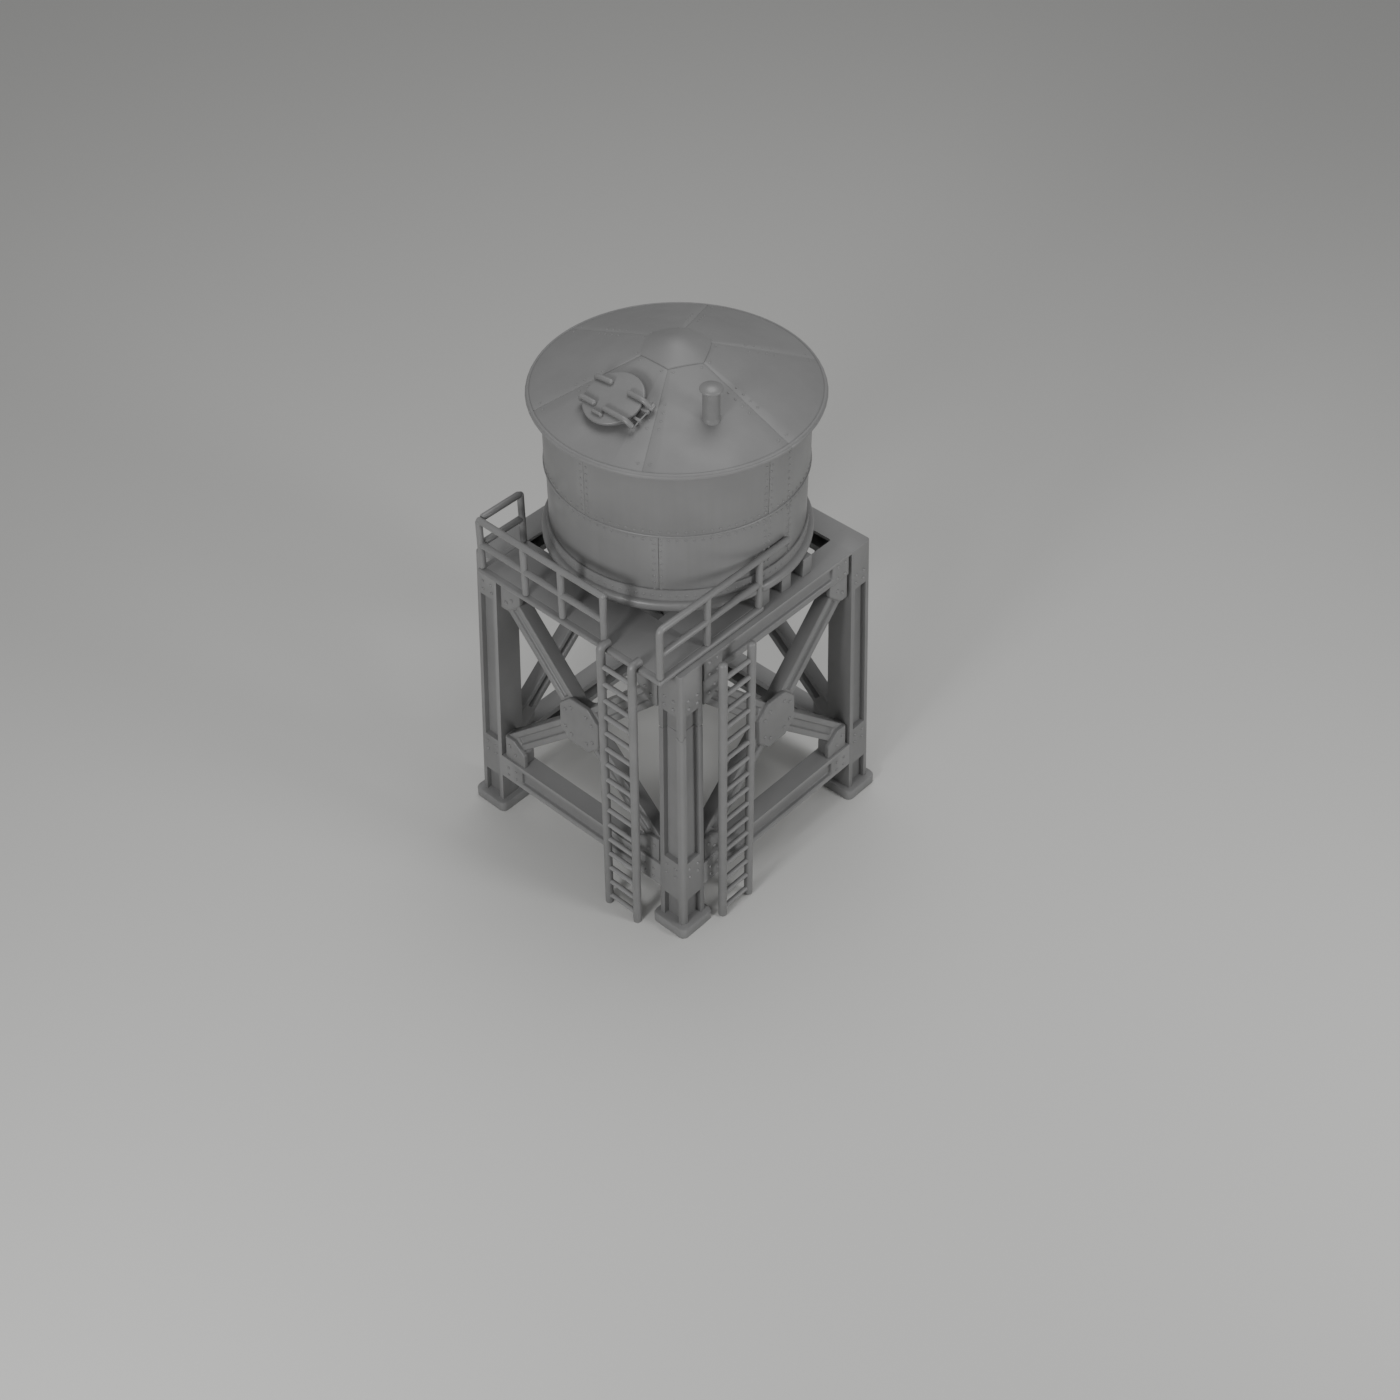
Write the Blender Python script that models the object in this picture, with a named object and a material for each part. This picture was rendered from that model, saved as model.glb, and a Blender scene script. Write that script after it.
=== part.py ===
"""Riveted water tower: a round tank on four leaning box legs, with a deck, railings and two ladders.

Metres, +Z up. The origin is on the ground, and the four legs stand evenly around the Z axis before the
last step moves everything so that the origin is the middle of the footprint. The front is -Y.
"""
from math import atan, cos, degrees, hypot, pi, radians, sin

import bmesh
import bpy
from mathutils import Vector

GAP = 0.0003                  # clearance between touching pieces
OVERCUT = 0.02                # how far a cutter runs past the surface that it opens
LONG_CUT = 0.4                # reach of the cutters that go right through from the middle of a piece
AXIS_R = 0.001                # a swept cone starts this far from its axis
ROUND_MIDDLE = 0.3            # middle of a quarter-round, from both faces, as a share of its radius

# Leg frame
FRAME_TOP = 4.85              # height of the top of the legs and top beams
HALF_TOP = 1.95               # from the axis to the legs' outer faces, at the top
SPLAY = 0.0331                # outward lean of the outer faces, metres per metre of height
LEG_TOP = 0.408               # width of a leg at the top
LEG_TAPER = 0.0086            # growth of its width per metre down
LEG_CORNER = 0.045            # radius of the outer corner bead
FLANGE_OUT = 0.095            # the two edge strips of a leg's outer face, beside the recess
FLANGE_IN = 0.08
RECESS = 0.085                # depth of the recess in a leg's outer face
TOP_PLATE_Z = 4.13            # lower edge of the top cover plates
LOW_PLATE_TOP = 1.37          # lower cover plates
LOW_PLATE_BOTTOM = 0.65
FOOT = 0.635                  # footing block
FOOT_TALL = 0.176
FOOT_CORNER = 0.09
FOOT_EDGE = 0.035
CORNER_STEPS = 4

# Ring beams: a web set back between an upper and a lower flange, and flush plates at both ends
TOP_BEAM_TALL = 0.36
TOP_BEAM_WIDE = 0.39
TOP_BEAM_FLANGES = (0.05, 0.105)      # thickness of the upper and the lower flange
TOP_BEAM_PLATE = 1.14                 # where the flush end plates start, from the middle of the side
LOW_BEAM_TOP = 1.12
LOW_BEAM_TALL = 0.415
LOW_BEAM_WIDE = 0.30
LOW_BEAM_FLANGES = (0.10, 0.095)
LOW_BEAM_PLATE = 1.21
WEB_SET = 0.06                # web behind the flanges' outer edges
WEB_THICK = 0.05
END_GROOVE = 0.055            # upright groove between a leg and the plates bolted up beside it
END_GROOVE_DEEP = 0.06

# Cross braces
HUB_Z = 2.75                  # height of the crossing
HUB_HALF = 0.38               # octagonal centre plate: half width, half height and chamfer
HUB_HALF_TALL = 0.41
HUB_CHAMFER = 0.20
HUB_SET = 0.03                # plates behind the legs' outer faces
PLATE_THICK = 0.08
CROSSING_FILLET = 0.20        # round corners between the arms, behind the centre plate
CROSSING_FRONT = 0.10
CROSSING_BACK = 0.29
ARM_SLOPE_UP = radians(46)
ARM_SLOPE_DOWN = radians(42.5)
ARM_WIDE = 0.31
ARM_FRONT = 0.09
ARM_DEEP = 0.22
ARM_FLANGE = 0.09
ARM_POCKET = 0.05             # depth of the arms' long recesses
ARM_WEB = 0.06
POCKET_START = 0.44           # the recesses' ends, measured along the arm from the crossing
POCKET_END_UP = 1.86
POCKET_END_DOWN = 1.80
TOP_GUSSET = ((1.12, 4.28), (1.37, 4.06))     # corner plates: the two free corners, as (along, z)
LOW_GUSSET = ((1.17, 1.36), (1.39, 1.54))
CORE_INSET = 0.04             # thick block behind each corner plate: inside its free edges
CORE_FRONT = 0.10
CORE_BACK = 0.275
TRIM = 0.002                  # arms end this far inside the corner plates' edges
FILLET_STEPS = 5
PAST_LEGS = 3.0               # arms are drawn this far from the middle, then cut to length

# Joists and tank
JOIST_TALL = 0.30
JOIST_WIDE = 0.19
JOIST_HALF = 1.80
JOIST_PITCH = 0.44
JOIST_ROOM = 0.01             # between the short joists and the side deck
TANK_Y = 0.10                 # the tank stands a little behind the middle of the frame
RING_R = 1.88                 # base ring, with an angle ring around the foot of the wall
RING_INNER = 1.60
RING_TALL = 0.15
RING_EDGE = 0.05
ANGLE_THICK = 0.028
ANGLE_TALL = 0.17
FLOOR_THICK = 0.04
FLOOR_ROOM = 0.005            # between the floor and the base ring
FLOOR_SIDES = 48
LOWER_R = 1.773               # the upper course laps over the outside of the lower one
UPPER_R = 1.795
WALL = 0.022
SEAM_Z = 6.36
LAP = 0.06
SEAM_ANGLES = (-55.1, 9.0, 157.0, 304.9)   # upright seams of the lower course, then once round to the first
SEAM_STEPS = (13, 36, 35)     # flat facets between them
UPPER_STARTS = (10, 43, 76)   # the upper course's seams, at facet edges counted from the first seam

# Roof
RIM_R = 1.986
RIM_ROLL = 0.035              # radius of the rolled lip
LIP_Z = 7.47                  # upper surface at the lip
ROOF_RISE = 0.378             # slope, metres per metre
ROOF_THICK = 0.03
ROOF_INNER = 0.36
LIP_FLAT = 0.01               # the plates stay flat to this far inside the rolled lip
LIP_BACK = (0.03, 0.04)       # foot of the lip, and where the underside starts, inside the lip
LIP_ANGLES = (70, 35, 0, -35, -90)
ROOF_STEP = 6                 # degrees of one flat facet
ROOF_SEAT = 0.0015            # room between the wall's top edge and the roof
SPLIT = 0.01                  # degrees left free on each side of an upright seam
CAP_R = 0.48
CAP_THICK = 0.03
CAP_SINK = 0.06               # the cap's foot, below the roof before it is cut to the slope
CAP_PEAK_R = 0.01

# Roof fittings, the hatch in the plane of the front roof plate
HATCH_Y = -1.03
HATCH_SINK = 0.012            # heights on the hatch count from this far under the roof's surface
HATCH_R = 0.40
HATCH_SIDES = 32
LID_THICK = 0.05
NECK_R = 0.36
NECK_WALL = 0.02
NECK_TALL = 0.07
NECK_DEEP = 0.12
HINGE_OUT = 0.50              # hinge rod: beside the hatch, parallel to the slope
HINGE_UP = 0.045
HINGE_ROD_R = 0.012
HINGE_ROD_HALF = 0.215
ROD_SIDES = 12
LUG_AT = 0.08
LUG_WIDE = 0.04
LUG_START = 0.012             # let into the neck
LUG_END = 0.02                # past the hinge rod
LUG_LOW = 0.022               # heights of its faces: above the roof, and below the neck's top
LUG_HIGH = 0.005
STRAP_AT = 0.18
STRAP_WIDE = 0.03
STRAP_THICK = 0.022
STRAP_START = 0.05
STRAP_SUNK = 0.01             # let into the lid
STRAP_BEND = (0.05, 0.03)     # lower and upper bend, inside the hinge rod
STRAP_NOSE = ((0.018, 0.02), (0.022, 0.045))     # its end, out from and above the hinge rod
KNUCKLE_R = 0.028
KNUCKLE_BORE = 0.0135
KNUCKLE_SIDES = 16
VENT_X = 1.08
VENT_Y = -0.42
VENT_R = 0.115
VENT_TALL = 0.415
VENT_CAP_R = 0.155
VENT_CAP_TALL = 0.08
VENT_CAP_RIM = 0.03
VENT_CAP_ANGLES = (30, 60, 85)
VENT_DEEP = 0.2               # below the roof before it is cut to the slope
VENT_SIDES = 20

# Deck, railings and ladders
DECK_THICK = 0.08
DECK_FRONT = -2.26
DECK_BACK = -1.37
DECK_LEFT = -1.58
DECK_RIGHT = 1.875
DECK_INNER = 1.00
TUBE_R = 0.046
TUBE_SIDES = 10
RAIL_Z = 5.765
MID_RAIL_Z = 5.35
FRONT_RAIL_Y = -2.20
SIDE_RAIL_X = 1.82            # just clear of the tank's wall
FRONT_POSTS = (-1.51, -0.66, 0.04, 0.82)
FRONT_RAIL_END = 0.05         # past the last post
BACK_POST_Y = -1.425
SIDE_POSTS = (-2.20, -1.30, -0.28)
SIDE_RAIL_END = 0.31
POST_CLEARANCE = 0.004        # around the last post, which stands in a notch in the base ring
NOTCH_PAST = 0.1              # the notch's cutter runs past the ring by this
LADDER_TOP = 4.97
LADDER_LEAN = 0.008           # outward lean toward the foot, metres per metre
LADDER_RAIL_R = 0.0625
LADDER_RAIL_SIDES = 12
LADDER_HALF = 0.283
LADDER_FRONT_X = 1.146
LADDER_SIDE_Y = -1.17
LADDER_SIDE_IN = 0.085        # the side ladder stands this much nearer to the tower
RUNG_STEP = 0.301
RUNG_FIRST = 0.16
RUNG_COUNT = 16
RUNG_R = 0.038
RUNG_SIDES = 8

# Worked out from the sizes above
JOIST_TOP = FRAME_TOP + JOIST_TALL
RING_TOP = JOIST_TOP + RING_TALL
JOIST_ROWS = tuple(TANK_Y + JOIST_PITCH * step for step in (-1.5, -0.5, 0.5, 1.5))
WALL_ANGLES = [start + (end - start) * step / count
               for start, end, count in zip(SEAM_ANGLES, SEAM_ANGLES[1:], SEAM_STEPS)
               for step in range(count)]
LOWER_STARTS = (0, SEAM_STEPS[0], SEAM_STEPS[0] + SEAM_STEPS[1])
DECK_TOP = FRAME_TOP + DECK_THICK
DECK_END = JOIST_ROWS[1] - JOIST_WIDE / 2 - GAP

STEEL = (0.30, 0.30, 0.31, 1.0)
STEEL_DARK = (0.24, 0.24, 0.25, 1.0)
STEEL_LIGHT = (0.36, 0.36, 0.37, 1.0)


def clear_scene():
    for item in list(bpy.data.objects):
        bpy.data.objects.remove(item, do_unlink=True)


def painted_steel(name, colour):
    """Satin painted steel."""
    material = bpy.data.materials.new(name)
    material.use_nodes = True
    shader = material.node_tree.nodes["Principled BSDF"]
    shader.inputs["Base Color"].default_value = colour
    shader.inputs["Roughness"].default_value = 0.5
    shader.inputs["Metallic"].default_value = 0.0
    return material


def finish_mesh(name, bm, material, smooth=False):
    """Turn a bmesh into a named object with its faces pointing out."""
    bmesh.ops.remove_doubles(bm, verts=bm.verts, dist=0.00005)
    bmesh.ops.recalc_face_normals(bm, faces=bm.faces)
    mesh = bpy.data.meshes.new(name)
    bm.to_mesh(mesh)
    bm.free()
    if smooth:
        mesh.shade_smooth()
        mesh.set_sharp_from_angle(angle=radians(35))
    item = bpy.data.objects.new(name, mesh)
    item.data.materials.append(material)
    bpy.context.scene.collection.objects.link(item)
    return item


def loft(name, rings, material, smooth=False, loop=False):
    """A closed solid through rings of points; a loop joins the last ring to the first."""
    bm = bmesh.new()
    rows = [[bm.verts.new(point) for point in ring] for ring in rings]
    count = len(rows[0])
    pairs = list(zip(rows, rows[1:]))
    if loop:
        pairs.append((rows[-1], rows[0]))
    for low, high in pairs:
        for i in range(count):
            j = (i + 1) % count
            bm.faces.new((low[i], low[j], high[j], high[i]))
    if not loop:
        bm.faces.new(rows[0])
        bm.faces.new(rows[-1])
    return finish_mesh(name, bm, material, smooth)


def use_boolean(target, tool, operation):
    """Keep a tool object as a hidden Boolean operand of the target."""
    tool.hide_render = True
    tool.display_type = "WIRE"
    change = target.modifiers.new(tool.name, "BOOLEAN")
    change.operation = operation
    change.object = tool
    change.solver = "EXACT"


def half_width(z):
    """From the axis to the outer faces of the legs and beams."""
    return HALF_TOP + SPLAY * (FRAME_TOP - z)


def leg_inner(z):
    """From the axis to the inner faces of the legs."""
    return HALF_TOP - LEG_TOP + (SPLAY - LEG_TAPER) * (FRAME_TOP - z)


def turned(point, turns):
    """A point of the front side carried to another side by quarter turns."""
    x, y, z = point
    for _ in range(turns):
        x, y = -y, x
    return Vector((x, y, z))


def side_point(turns, along, depth, z):
    """A point given along one side, behind its leaning outer face, and by height."""
    return turned((along, -(half_width(z) - depth), z), turns)


def side_prism(name, turns, outline, front, back, material):
    """A flat outline of (along, z) points on one side, from one depth to another."""
    rings = [[side_point(turns, along, depth, z) for along, z in outline] for depth in (front, back)]
    return loft(name, rings, material)


def arc(centre_x, centre_y, radius, start, end, steps):
    """Points on an arc, angles in degrees."""
    angles = (radians(start + (end - start) * i / steps) for i in range(steps + 1))
    return [(centre_x + radius * cos(a), centre_y + radius * sin(a)) for a in angles]


def make_leg(name, turns, steel):
    """A tapering box leg with a rounded outer corner and recessed outer faces."""
    def section(z):
        outer, inner = half_width(z), leg_inner(z)
        corner = arc(outer - LEG_CORNER, -(outer - LEG_CORNER), LEG_CORNER, 0, -90, 3)
        flat = [(inner, -inner), (outer, -inner)] + corner + [(inner, -outer)]
        return [turned((x, y, z), turns) for x, y in flat]

    leg = loft(name, [section(FOOT_TALL + GAP), section(FRAME_TOP)], steel)
    for low, high in ((FOOT_TALL - OVERCUT, LOW_PLATE_BOTTOM), (LOW_PLATE_TOP, TOP_PLATE_Z)):
        for face in range(2):
            rings = []
            for depth in (-OVERCUT, RECESS):
                ring = []
                for z, edge in ((low, 0), (low, 1), (high, 1), (high, 0)):
                    near, far = half_width(z) - FLANGE_OUT, leg_inner(z) + FLANGE_IN
                    along = (near, far)[edge] * (1 if face == 0 else -1)
                    ring.append(side_point(turns + face, along, depth, z))
                rings.append(ring)
            use_boolean(leg, loft(f"cut_{name}_{face}_{low:.2f}", rings, steel), "DIFFERENCE")
    return leg


def make_footing(name, turns, steel):
    """A square block with rounded corners and a rounded top edge."""
    centre = (half_width(FOOT_TALL) + leg_inner(FOOT_TALL)) / 2

    def section(shrink, z):
        half = FOOT / 2 - shrink
        reach = half - FOOT_CORNER
        points = []
        for quarter in range(4):
            start = 90 * quarter
            corner_x = centre + reach * (1 if quarter in (0, 3) else -1)
            corner_y = -centre + reach * (1 if quarter in (0, 1) else -1)
            points += arc(corner_x, corner_y, FOOT_CORNER, start, start + 90, CORNER_STEPS)
        return [turned((x, y, z), turns) for x, y in points]

    middle = FOOT_EDGE * ROUND_MIDDLE
    levels = [(0, 0), (0, FOOT_TALL - FOOT_EDGE), (middle, FOOT_TALL - middle), (FOOT_EDGE, FOOT_TALL)]
    return loft(name, [section(shrink, z) for shrink, z in levels], steel)


def make_beam(name, turns, top, tall, wide, flanges, plate_start, grooved, steel):
    """A ring beam between two legs: flanges, a web set back on both sides and flush end plates.

    A grooved beam's end plates and lower flange stop short of the legs in front.
    """
    bottom = top - tall
    web_low, web_high = bottom + flanges[1], top - flanges[0]

    def block(label, start, end, front, back, low, high):
        outline = [(start(low), low), (end(low), low), (end(high), high), (start(high), high)]
        return side_prism(label, turns, outline, front, back, steel)

    def reach(sign, change):
        return lambda z: sign * (leg_inner(z) + change)

    beam = block(name, reach(-1, -GAP), reach(1, -GAP), 0, wide, bottom, top)
    inner_front = WEB_SET + WEB_THICK
    cutters = [block(f"cut_{name}_outer", lambda z: -plate_start, lambda z: plate_start, -OVERCUT, WEB_SET,
                     web_low, web_high),
               block(f"cut_{name}_inner", reach(-1, OVERCUT), reach(1, OVERCUT), inner_front,
                     wide + OVERCUT, web_low, web_high)]
    for sign in (-1, 1) if grooved else ():
        cutters.append(block(f"cut_{name}_groove_{sign}", reach(sign, -END_GROOVE), reach(sign, OVERCUT),
                             -OVERCUT, END_GROOVE_DEEP, bottom - OVERCUT, web_high))
    for cutter in cutters:
        use_boolean(beam, cutter, "DIFFERENCE")


def corner_plates(low, high, inset, short):
    """Outlines of the four corner plates of a side: inset from their free edges, and short of the legs."""
    outlines = []
    for edge, (first, second), inward in ((high, TOP_GUSSET, 1), (low, LOW_GUSSET, -1)):
        start, tip, end = first[0] + inset, second[0] + inset / 2, second[1] + inset * inward
        outline = [(leg_inner(edge) - short, edge), (start, edge), (start, first[1]), (tip, end),
                   (leg_inner(end) - short, end)]
        outlines += [outline, [(-along, z) for along, z in outline]]
    return outlines


def trimmed(outline, start, end):
    """The part of an outline on the left of the line from start to end."""
    edge = Vector(end) - Vector(start)
    side = [edge.cross(Vector(point) - Vector(start)) for point in outline]
    kept = []
    for i, point in enumerate(outline):
        j = (i + 1) % len(outline)
        if side[i] >= 0:
            kept.append(tuple(point))
        if side[i] * side[j] < 0:
            kept.append(tuple(Vector(point).lerp(Vector(outline[j]), side[i] / (side[i] - side[j]))))
    return kept


def crossing():
    """Outline of the web behind the centre plate: a round corner between each two neighbouring arms."""
    angles = [ARM_SLOPE_UP, pi - ARM_SLOPE_UP, pi + ARM_SLOPE_DOWN, 2 * pi - ARM_SLOPE_DOWN,
              2 * pi + ARM_SLOPE_UP]
    points = []
    for first, second in zip(angles, angles[1:]):
        half = (second - first) / 2
        reach = (ARM_WIDE / 2 - 2 * TRIM + CROSSING_FILLET) / sin(half)
        centre_x, centre_z = reach * cos(first + half), HUB_Z + reach * sin(first + half)
        points += arc(centre_x, centre_z, CROSSING_FILLET, degrees(first) + 270, degrees(second) + 90,
                      FILLET_STEPS)
    return points


def make_brace(name, turns, steel):
    """An X of four arms around an octagonal centre plate, with a plate on a thick core in each corner."""
    low = LOW_BEAM_TOP + GAP
    high = FRAME_TOP - TOP_BEAM_TALL - GAP
    arm_back = ARM_FRONT + ARM_DEEP
    w, h, c = HUB_HALF, HUB_HALF_TALL, HUB_CHAMFER
    octagon = [(w, h - c), (w - c, h), (c - w, h), (-w, h - c),
               (-w, c - h), (c - w, -h), (w - c, -h), (w, c - h)]
    octagon = [(x, HUB_Z + z) for x, z in octagon]
    brace = side_prism(name, turns, octagon, HUB_SET, HUB_SET + PLATE_THICK, steel)
    web = side_prism(f"add_{name}_crossing", turns, crossing(), CROSSING_FRONT, CROSSING_BACK, steel)
    use_boolean(brace, web, "UNION")

    hub = Vector((0, HUB_Z))
    inner_low, inner_high = leg_inner(low) - TRIM, leg_inner(high) - TRIM
    pockets = []
    for right in (-1, 1):
        for up in (-1, 1):
            slope = ARM_SLOPE_UP if up > 0 else ARM_SLOPE_DOWN
            line = Vector((right * cos(slope), up * sin(slope)))
            across = Vector((-line.y, line.x))

            def strip(start, end, half):
                return [tuple(hub + line * at + across * side)
                        for at, side in ((start, -half), (end, -half), (end, half), (start, half))]

            outline = strip(HUB_HALF / 2, PAST_LEGS, ARM_WIDE / 2)
            outline = trimmed(outline, (inner_low, low), (inner_high, high))
            outline = trimmed(outline, (-inner_high, high), (-inner_low, low))
            outline = trimmed(outline, (-PAST_LEGS, low + TRIM), (PAST_LEGS, low + TRIM))
            outline = trimmed(outline, (PAST_LEGS, high - TRIM), (-PAST_LEGS, high - TRIM))
            label = f"{name}_{'r' if right > 0 else 'l'}{'u' if up > 0 else 'd'}"
            arm = side_prism(f"add_{label}", turns, outline, ARM_FRONT, arm_back, steel)
            use_boolean(brace, arm, "UNION")
            pocket_end = POCKET_END_UP if up > 0 else POCKET_END_DOWN
            outline = strip(POCKET_START, pocket_end, ARM_WIDE / 2 - ARM_FLANGE)
            web_front = ARM_FRONT + ARM_POCKET
            pockets.append((f"cut_{label}_front", outline, -OVERCUT, web_front))
            pockets.append((f"cut_{label}_back", outline, web_front + ARM_WEB, arm_back + OVERCUT))
    cores = corner_plates(low + TRIM / 2, high - TRIM / 2, CORE_INSET, GAP)
    for index, outline in enumerate(cores):
        core = side_prism(f"add_{name}_core{index}", turns, outline, CORE_FRONT, CORE_BACK, steel)
        use_boolean(brace, core, "UNION")
    plate_back = HUB_SET + PLATE_THICK
    for index, outline in enumerate(corner_plates(low, high, 0, END_GROOVE)):
        plate = side_prism(f"add_{name}_plate{index}", turns, outline, HUB_SET, plate_back, steel)
        use_boolean(brace, plate, "UNION")
    for label, outline, front, back in pockets:
        use_boolean(brace, side_prism(label, turns, outline, front, back, steel), "DIFFERENCE")


def box_between(name, low, high, material):
    """An axis-aligned box from its low corner to its high corner."""
    (x0, y0, z0), (x1, y1, z1) = low, high
    rings = [[(x0, y0, z), (x1, y0, z), (x1, y1, z), (x0, y1, z)] for z in (z0, z1)]
    return loft(name, rings, material)


def turned_ring(name, profile, angles, material, loop=False):
    """A profile of (radius, z) points swept about the tank's axis through the angles, in degrees."""
    rings = [[(r * cos(radians(a)), TANK_Y + r * sin(radians(a)), z) for r, z in profile] for a in angles]
    return loft(name, rings, material, smooth=True, loop=loop)


def around(first, last):
    """Facet edges of the wall from one to another, a hair inside both, so that neighbours stay apart."""
    count = len(WALL_ANGLES)
    angles = [WALL_ANGLES[i % count] + 360 * (i // count) for i in range(first, last + 1)]
    return [angles[0] + SPLIT] + angles[1:-1] + [angles[-1] - SPLIT]


def roof_z(radius):
    """Height of the roof's upper surface at a distance from the tank's axis."""
    return LIP_Z + ROOF_RISE * (RIM_R - RIM_ROLL - radius)


def roof_body(name, lift, steel):
    """A cone filling the space under the roof's upper surface, raised a little: a cutter."""
    low = LIP_Z - LONG_CUT
    profile = [(AXIS_R, roof_z(AXIS_R) + lift), (RIM_R, roof_z(RIM_R) + lift), (RIM_R, low), (AXIS_R, low)]
    return turned_ring(name, profile, range(0, 360, ROOF_STEP), steel, loop=True)


def cylinder_between(name, start, end, radius, sides, material):
    """A round bar from one point to another."""
    start, end = Vector(start), Vector(end)
    line = (end - start).normalized()
    helper = Vector((0, 0, 1)) if abs(line.z) < 0.9 else Vector((1, 0, 0))
    side = line.cross(helper).normalized()
    up = side.cross(line)
    rings = []
    for point in (start, end):
        rings.append([point + (side * cos(2 * pi * i / sides) + up * sin(2 * pi * i / sides)) * radius
                      for i in range(sides)])
    return loft(name, rings, material, smooth=True)


def make_roof(steel):
    """Six plates from under the cap to the rolled lip; the front one has the hatch opening."""
    lip = RIM_R - RIM_ROLL
    roll_z = LIP_Z - RIM_ROLL
    roll = [(lip + RIM_ROLL * cos(radians(a)), roll_z + RIM_ROLL * sin(radians(a))) for a in LIP_ANGLES]
    flat_end, under_start = lip - LIP_FLAT, lip - LIP_BACK[1]
    profile = [(ROOF_INNER, roof_z(ROOF_INNER)), (flat_end, roof_z(flat_end))] + roll
    profile += [(lip - LIP_BACK[0], roll_z - RIM_ROLL), (under_start, roof_z(under_start) - ROOF_THICK),
                (ROOF_INNER, roof_z(ROOF_INNER) - ROOF_THICK)]
    plates = []
    for i in range(6):
        inside = list(range(60 * i + ROOF_STEP, 60 * i + 60, ROOF_STEP))
        angles = [60 * i + SPLIT] + inside + [60 * i + 60 - SPLIT]
        plates.append(turned_ring(f"roof_plate_{i + 1}", profile, angles, steel))
    hole = cylinder_between("cut_hatch_hole", hatch_point(0, 0, -LONG_CUT), hatch_point(0, 0, LONG_CUT),
                            NECK_R + GAP, HATCH_SIDES, steel)
    use_boolean(plates[4], hole, "DIFFERENCE")

    levels = ((CAP_R, roof_z(CAP_R) - CAP_SINK), (CAP_R, roof_z(CAP_R) + CAP_THICK),
              (CAP_PEAK_R, roof_z(0) + CAP_THICK))
    cap_rings = [[(r * cos(radians(a)), TANK_Y + r * sin(radians(a)), z) for a in range(0, 360, 60)]
                 for r, z in levels]
    cap = loft("roof_cap", cap_rings, steel)
    use_boolean(cap, roof_body("cut_cap_underside", GAP, steel), "DIFFERENCE")


def hatch_slope():
    return atan(ROOF_RISE)


def hatch_point(across, up_slope, above):
    """A point given in the hatch's plane: across the slope, up the slope and above the roof."""
    tilt = hatch_slope()
    base_z = roof_z(TANK_Y - HATCH_Y) - HATCH_SINK
    return Vector((across, HATCH_Y + up_slope * cos(tilt) - above * sin(tilt),
                   base_z + up_slope * sin(tilt) + above * cos(tilt)))


def hatch_box(name, low, high, steel):
    """A box given by two corners in the hatch's plane."""
    (x0, y0, z0), (x1, y1, z1) = low, high
    rings = [[hatch_point(x, y, z) for x, y in ((x0, y0), (x1, y0), (x1, y1), (x0, y1))] for z in (z0, z1)]
    return loft(name, rings, steel)


def make_hatch(steel):
    """A round neck through the front roof plate with a fixed hinge rod, and a flat lid on two straps."""
    neck = cylinder_between("hatch_neck", hatch_point(0, 0, -NECK_DEEP), hatch_point(0, 0, NECK_TALL),
                            NECK_R, HATCH_SIDES, steel)
    bore = cylinder_between("cut_neck_bore", hatch_point(0, 0, -LONG_CUT), hatch_point(0, 0, LONG_CUT),
                            NECK_R - NECK_WALL, HATCH_SIDES, steel)
    for side in (-1, 1):
        lug = hatch_box(f"add_lug_{side}", (NECK_R - LUG_START, side * LUG_AT - LUG_WIDE / 2, LUG_LOW),
                        (HINGE_OUT + LUG_END, side * LUG_AT + LUG_WIDE / 2, NECK_TALL - LUG_HIGH), steel)
        use_boolean(neck, lug, "UNION")
    rod = cylinder_between("add_hinge_rod", hatch_point(HINGE_OUT, -HINGE_ROD_HALF, HINGE_UP),
                           hatch_point(HINGE_OUT, HINGE_ROD_HALF, HINGE_UP), HINGE_ROD_R, ROD_SIDES, steel)
    use_boolean(neck, rod, "UNION")
    use_boolean(neck, bore, "DIFFERENCE")

    seat = NECK_TALL + GAP
    lid_top = seat + LID_THICK
    lid = cylinder_between("hatch_lid", hatch_point(0, 0, seat), hatch_point(0, 0, lid_top), HATCH_R,
                           HATCH_SIDES, steel)
    for side in (-1, 1):
        near, far = side * STRAP_AT - STRAP_WIDE / 2, side * STRAP_AT + STRAP_WIDE / 2
        low_bend, high_bend = (HINGE_OUT - distance for distance in STRAP_BEND)
        points = [(STRAP_START, lid_top - STRAP_SUNK), (low_bend, lid_top - STRAP_SUNK)]
        points += [(HINGE_OUT + out, HINGE_UP + up) for out, up in STRAP_NOSE]
        points += [(high_bend, lid_top + STRAP_THICK), (STRAP_START, lid_top + STRAP_THICK)]
        rings = [[hatch_point(x, y, z) for x, z in points] for y in (near, far)]
        use_boolean(lid, loft(f"add_strap_{side}", rings, steel), "UNION")
        knuckle = cylinder_between(f"add_knuckle_{side}", hatch_point(HINGE_OUT, near, HINGE_UP),
                                   hatch_point(HINGE_OUT, far, HINGE_UP), KNUCKLE_R, KNUCKLE_SIDES, steel)
        use_boolean(lid, knuckle, "UNION")
    ends = [hatch_point(HINGE_OUT, reach, HINGE_UP) for reach in (-LONG_CUT, LONG_CUT)]
    pin_hole = cylinder_between("cut_knuckle_bore", *ends, KNUCKLE_BORE, KNUCKLE_SIDES, steel)
    use_boolean(lid, pin_hole, "DIFFERENCE")
    move_origin(lid, hatch_point(HINGE_OUT, 0, HINGE_UP))


def move_origin(item, point):
    """Put an object's origin at a point and leave its shape where it is."""
    for vertex in item.data.vertices:
        vertex.co -= point
    item.location = point


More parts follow.
